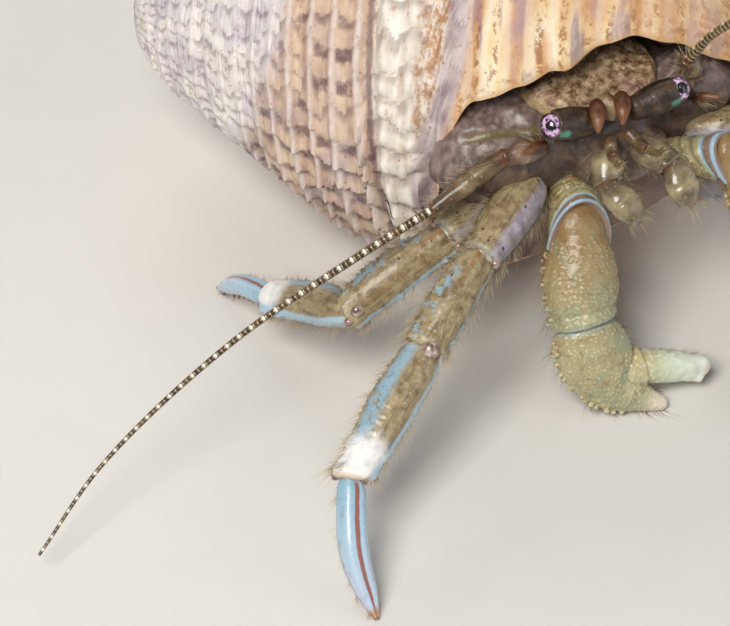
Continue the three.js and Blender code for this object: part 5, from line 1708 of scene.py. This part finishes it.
# ------------------------------------------------------------------ coats of bristles
def build_bristles():
    """One coat of hairs for each limb, rooted on the plates; the order keeps the random draws."""
    pale = made_once("pale_bristle", bristle_finish, tone(150, 118, 74), tone(226, 204, 164))
    brown = made_once("brown_bristle", bristle_finish, tone(96, 66, 36), tone(176, 138, 88))
    dark = made_once("dark_spine", bristle_finish, tone(120, 70, 34), tone(44, 26, 18))
    for (number, side) in LEG_JOINTS:
        word = WORDS[side]
        coat = Coat(4, 100 + 7 * number + side)
        for chart, part in enumerate(LEG_PARTS):
            plate = PLATES[f"leg_{number}_{part}_{word}"]
            longer = 0.5 if part == "dactyl" else 1.0
            few = 12 if part == "dactyl" else 34
            coat.add(plate, chart, few, 126, 10, (0.4 * longer, 1.2 * longer), 0.0095, clump=3)
            coat.add(plate, chart, few, -110, 16, (0.4 * longer, 1.5 * longer), 0.0095, clump=4)
            coat.add(plate, chart, few, 180, 26, (0.4, 1.1 * longer), 0.0095, clump=3)
            coat.add(plate, chart, few, 0, 50, (0.1, 0.32), 0.008, clump=2, lean=1.0)
            coat.add(plate, chart, few, -62, 12, (0.25, 0.9 * longer), 0.009, clump=3)
        for chart, part in enumerate(LEG_PARTS[:3]):
            plate = PLATES[f"leg_{number}_{part}_{word}"]
            coat.add(plate, chart, 9, -70, 30, (0.6, 1.5), 0.01, clump=4, along=(0.9, 0.98))
            coat.add(plate, chart, 6, 120, 20, (0.5, 1.1), 0.01, clump=4, along=(0.9, 0.98))
            coat.add(plate, chart, 16, 60, 120, (0.3, 0.8), 0.008, clump=2, lean=0.6)
        coat.show(f"bristles_leg_{number}_{word}", pale, "flesh")
        spines = Coat(1, 140 + 7 * number + side)
        dactyl = PLATES[f"leg_{number}_dactyl_{word}"]
        spines.add(dactyl, 0, 16, 160, 4, (0.25, 0.4), 0.045, along=(0.3, 0.9), curl=0.1)
        spines.show(f"toe_spines_{number}_{word}", dark, "flesh")
    for word, full in (("right", 1.0), ("left", 0.6)):
        coat = Coat(4, 170 + len(word))
        for chart, part in enumerate(("merus", "carpus", "palm", "dactyl")):
            plate = PLATES[f"cheliped_{part}_{word}"]
            shorter = full * (0.35 if part == "dactyl" else 0.8)
            few = 6 if part == "dactyl" else 26
            for degrees in (100, -100, 150, -150):
                coat.add(plate, chart, few, degrees, 12, (0.4 * shorter, 1.7 * shorter), 0.0098, clump=3)
            if part != "dactyl":
                coat.add(plate, chart, 40, 0, 60, (0.06, 0.2), 0.008, clump=2, lean=1.0)
        coat.show(f"bristles_claw_{word}", brown, "flesh")
        coat = Coat(6, 190 + len(word))
        for chart, part in enumerate(("maxilliped", "maxilliped_palp")):
            plate = PLATES[f"{part}_{word}"]
            coat.add(plate, chart, 14, 100, 20, (0.2, 0.7), 0.008, clump=3)
            coat.add(plate, chart, 22, 180, 50, (0.3, 0.9), 0.008, clump=3)
        coat.add(PLATES[f"maxilliped_palp_{word}"], 1, 18, 0, 90, (0.35, 0.9), 0.008, clump=3,
                 along=(0.85, 1.0), lean=1.4)
        feeler = PLATES[f"antenna_{word}"]
        coat.add(feeler, 2, 130, 0, 90, (0.15, 0.4), 0.007, along=(0.0, 0.3), lean=0.9)
        coat.add(feeler, 2, 150, 0, 90, (0.08, 0.2), 0.006, along=(0.3, 1.0), lean=0.9)
        coat.add(PLATES[f"antenna_peduncle_{word}"], 3, 30, 0, 60, (0.4, 0.9), 0.012, clump=3)
        coat.add(PLATES[f"antennal_acicle_{word}"], 4, 12, 0, 70, (0.35, 0.9), 0.01, clump=3)
        coat.add(PLATES[f"antennule_flagellum_{word}"], 5, 80, 180, 30, (0.2, 0.45), 0.01, clump=2)
        coat.show(f"bristles_mouth_{word}", pale, "flesh")


# ------------------------------------------------------------------ stage
AZIMUTH, ELEVATION = math.radians(-23), math.radians(45)
IMAGE_SIZE = (730, 626)
MM_PER_PIXEL = 0.05
EYES_AT = (615.0, 107.5)         # pixels from the frame's left and top to the middle of the eyes
CAMERA_DISTANCE = 200.0
EYE_HEIGHT = 15.5
SENSOR = 36.0                    # the camera's width of film, in mm
FLOOR_HALF = 1.5                 # metres


def build_stage():
    """Camera, floor, three soft lamps and an even sky."""
    back = np.array([
        math.sin(AZIMUTH) * math.cos(ELEVATION), -math.cos(AZIMUTH) * math.cos(ELEVATION),
        math.sin(ELEVATION)])
    right = np.array([math.cos(AZIMUTH), math.sin(AZIMUTH), 0.0])
    up = np.cross(back, right)
    eyes = np.array([0.0, 0.0, EYE_HEIGHT])
    aim = (eyes - right * (EYES_AT[0] - IMAGE_SIZE[0] / 2) * MM_PER_PIXEL
           + up * (EYES_AT[1] - IMAGE_SIZE[1] / 2) * MM_PER_PIXEL)
    place = (aim + back * CAMERA_DISTANCE + HEAD) * MM
    data = bpy.data.cameras.new("camera")
    data.sensor_fit, data.sensor_width = "HORIZONTAL", SENSOR
    data.lens = SENSOR * CAMERA_DISTANCE / (IMAGE_SIZE[0] * MM_PER_PIXEL)
    data.clip_start, data.clip_end = 0.01, 20.0
    camera = added("camera", data)
    camera.location = place.tolist()
    camera.rotation_euler = Vector(back.tolist()).to_track_quat("Z", "Y").to_euler()
    bpy.context.scene.camera = camera

    mesh = bpy.data.meshes.new("floor")
    corners = [(FLOOR_HALF * x, FLOOR_HALF * y, 0) for x, y in ((-1, -1), (1, -1), (1, 1), (-1, 1))]
    mesh.from_pydata(corners, [], [(0, 1, 2, 3)])
    floor = added("floor", mesh)
    f = Finish("floor_card")
    grain = f.noise(3.0, 4)
    f.colour = grain.mix(tone(214, 211, 206), tone(219, 216, 211))
    mesh.materials.append(f.finished(0.7 + 0.1 * grain))

    middle = Vector(((aim + HEAD) * MM).tolist())
    for name, direction, distance, size, power, colour in (
        ("key", (-0.55, -0.5, 1.0), 0.35, 0.16, 1.25, (1.0, 0.97, 0.92)),
        ("fill", (0.9, -0.9, 0.6), 0.45, 0.35, 0.4, (0.92, 0.96, 1.0)),
        ("rim", (0.2, 1.0, 0.7), 0.4, 0.25, 0.45, (1.0, 0.98, 0.95)),
    ):
        lamp = bpy.data.lights.new(name, "AREA")
        lamp.size, lamp.energy, lamp.color = size, power, colour
        holder = added(name, lamp)
        holder.location = middle + Vector(direction).normalized() * distance
        holder.rotation_euler = (holder.location - middle).to_track_quat("Z", "Y").to_euler()
    world = bpy.data.worlds.new("studio")
    world.use_nodes = True
    world.node_tree.nodes["Background"].inputs["Color"].default_value = (0.9, 0.93, 1.0, 1.0)
    world.node_tree.nodes["Background"].inputs["Strength"].default_value = 0.2
    bpy.context.scene.world = world
    bpy.context.scene.view_settings.view_transform = "Standard"


# ------------------------------------------------------------------ the panel and its tools
def colour_field(name, description, default):
    """A colour that the panel shows."""
    return FloatVectorProperty(name=name, description=description, subtype="COLOR", size=3, min=0.0,
                               max=1.0, default=default)


class HermitColours(bpy.types.PropertyGroup):
    """Colours of the cuticle."""

    olive: colour_field("Olive", "Middle tone of the legs", tone(134, 114, 82))
    deep_olive: colour_field("Deep olive", "Dark mottling of the legs", tone(98, 80, 56))
    pale_olive: colour_field("Pale olive", "Light mottling of the legs", tone(164, 148, 112))
    sky: colour_field("Sky blue", "Blue patches of the legs", tone(142, 175, 194))
    pale_sky: colour_field("Pale blue", "Blue edges of the legs", tone(164, 192, 208))
    cream: colour_field("Cream", "Pale flecks of the legs", tone(226, 218, 190))
    red_brown: colour_field("Red-brown", "Stripes of the toes", tone(146, 78, 48))


class HermitSizes(bpy.types.PropertyGroup):
    """Sizes of the small detail."""

    claw_grain: FloatProperty(
        name="Claw grain", description="Radius of the grains on the large claw", default=0.125 * MM,
        min=0.05 * MM, max=0.5 * MM, precision=5, unit="LENGTH", subtype="DISTANCE")
    bristle_length: FloatProperty(
        name="Bristle length", description="Factor on the length of every bristle", default=1.0,
        min=0.2, max=2.0, subtype="FACTOR")
    bristle_thickness: FloatProperty(
        name="Bristle thickness", description="Factor on the thickness of every bristle", default=1.0,
        min=0.3, max=3.0, subtype="FACTOR")
    feeler_rings: IntProperty(
        name="Feeler rings", description="Rings along each long feeler", default=104, min=20, max=160)


class HERMIT_OT_shell(bpy.types.Operator):
    """Makes the worn snail shell"""

    bl_idname = "hermit.shell"
    bl_label = "Snail shell"

    def execute(self, context):
        build_shell(made_once("worn_shell", shell_finish))
        return {"FINISHED"}


class HERMIT_OT_body(bpy.types.Operator):
    """Makes the soft body as one skin"""

    bl_idname = "hermit.body"
    bl_label = "Soft body"

    def execute(self, context):
        build_soft_body()
        return {"FINISHED"}


class HERMIT_OT_shield(bpy.types.Operator):
    """Makes the hard shield of the carapace"""

    bl_idname = "hermit.shield"
    bl_label = "Shield"

    def execute(self, context):
        build_shield()
        return {"FINISHED"}


class HERMIT_OT_eyes(bpy.types.Operator):
    """Makes the eyes on their stalks, with the scales beside them"""

    bl_idname = "hermit.eyes"
    bl_label = "Eyes"

    def execute(self, context):
        build_eyes()
        return {"FINISHED"}


class HERMIT_OT_feelers(bpy.types.Operator):
    """Makes the long and the short feelers"""

    bl_idname = "hermit.feelers"
    bl_label = "Feelers"

    def execute(self, context):
        build_feelers()
        return {"FINISHED"}


class HERMIT_OT_mouthparts(bpy.types.Operator):
    """Makes the outer mouthparts"""

    bl_idname = "hermit.mouthparts"
    bl_label = "Mouthparts"

    def execute(self, context):
        build_mouthparts()
        return {"FINISHED"}


class HERMIT_OT_claws(bpy.types.Operator):
    """Makes the large right claw and the small left one"""

    bl_idname = "hermit.claws"
    bl_label = "Claws"

    def execute(self, context):
        build_claw(RIGHT)
        build_claw(LEFT)
        return {"FINISHED"}


class HERMIT_OT_legs(bpy.types.Operator):
    """Makes the four walking legs"""

    bl_idname = "hermit.legs"
    bl_label = "Walking legs"

    def execute(self, context):
        for number, side in LEG_JOINTS:
            build_leg(number, side)
        return {"FINISHED"}


class HERMIT_OT_joints(bpy.types.Operator):
    """Makes the skins and hinge knobs between the plates"""

    bl_idname = "hermit.joints"
    bl_label = "Joints"

    def execute(self, context):
        build_joints()
        return {"FINISHED"}


class HERMIT_OT_bristles(bpy.types.Operator):
    """Makes the bristles on the plates that are already there"""

    bl_idname = "hermit.bristles"
    bl_label = "Bristles"

    def execute(self, context):
        build_bristles()
        return {"FINISHED"}


class HERMIT_OT_stage(bpy.types.Operator):
    """Makes the floor, the lights and the camera"""

    bl_idname = "hermit.stage"
    bl_label = "Stage"

    def execute(self, context):
        build_stage()
        return {"FINISHED"}


TOOLS = (
    HERMIT_OT_shell, HERMIT_OT_body, HERMIT_OT_shield, HERMIT_OT_eyes, HERMIT_OT_feelers,
    HERMIT_OT_mouthparts, HERMIT_OT_claws, HERMIT_OT_legs, HERMIT_OT_joints, HERMIT_OT_bristles,
    HERMIT_OT_stage,
)


class HERMIT_PT_panel(bpy.types.Panel):
    """Lists the tools and the values they use"""

    bl_idname = "HERMIT_PT_panel"
    bl_label = "Hermit Crab"
    bl_space_type = "VIEW_3D"
    bl_region_type = "UI"
    bl_category = "Hermit Crab"

    def draw(self, context):
        column = self.layout.column(align=True)
        for group in (context.scene.hermit_sizes, context.scene.hermit_colours):
            for field in group.bl_rna.properties:
                if field.identifier not in ("rna_type", "name"):
                    column.prop(group, field.identifier)
            column.separator()
        for tool in TOOLS:
            column.operator(tool.bl_idname)


CLASSES = (HermitColours, HermitSizes, *TOOLS, HERMIT_PT_panel)


def register():
    for each in CLASSES:
        bpy.utils.register_class(each)
    bpy.types.Scene.hermit_colours = PointerProperty(type=HermitColours)
    bpy.types.Scene.hermit_sizes = PointerProperty(type=HermitSizes)


def unregister():
    del bpy.types.Scene.hermit_sizes
    del bpy.types.Scene.hermit_colours
    for each in reversed(CLASSES):
        bpy.utils.unregister_class(each)


def main():
    """Runs every tool in order."""
    register()
    bpy.ops.hermit.shell()
    bpy.ops.hermit.body()
    bpy.ops.hermit.shield()
    bpy.ops.hermit.eyes()
    bpy.ops.hermit.feelers()
    bpy.ops.hermit.mouthparts()
    bpy.ops.hermit.claws()
    bpy.ops.hermit.legs()
    bpy.ops.hermit.joints()
    bpy.ops.hermit.bristles()
    bpy.ops.hermit.stage()


if __name__ == "__main__":
    main()
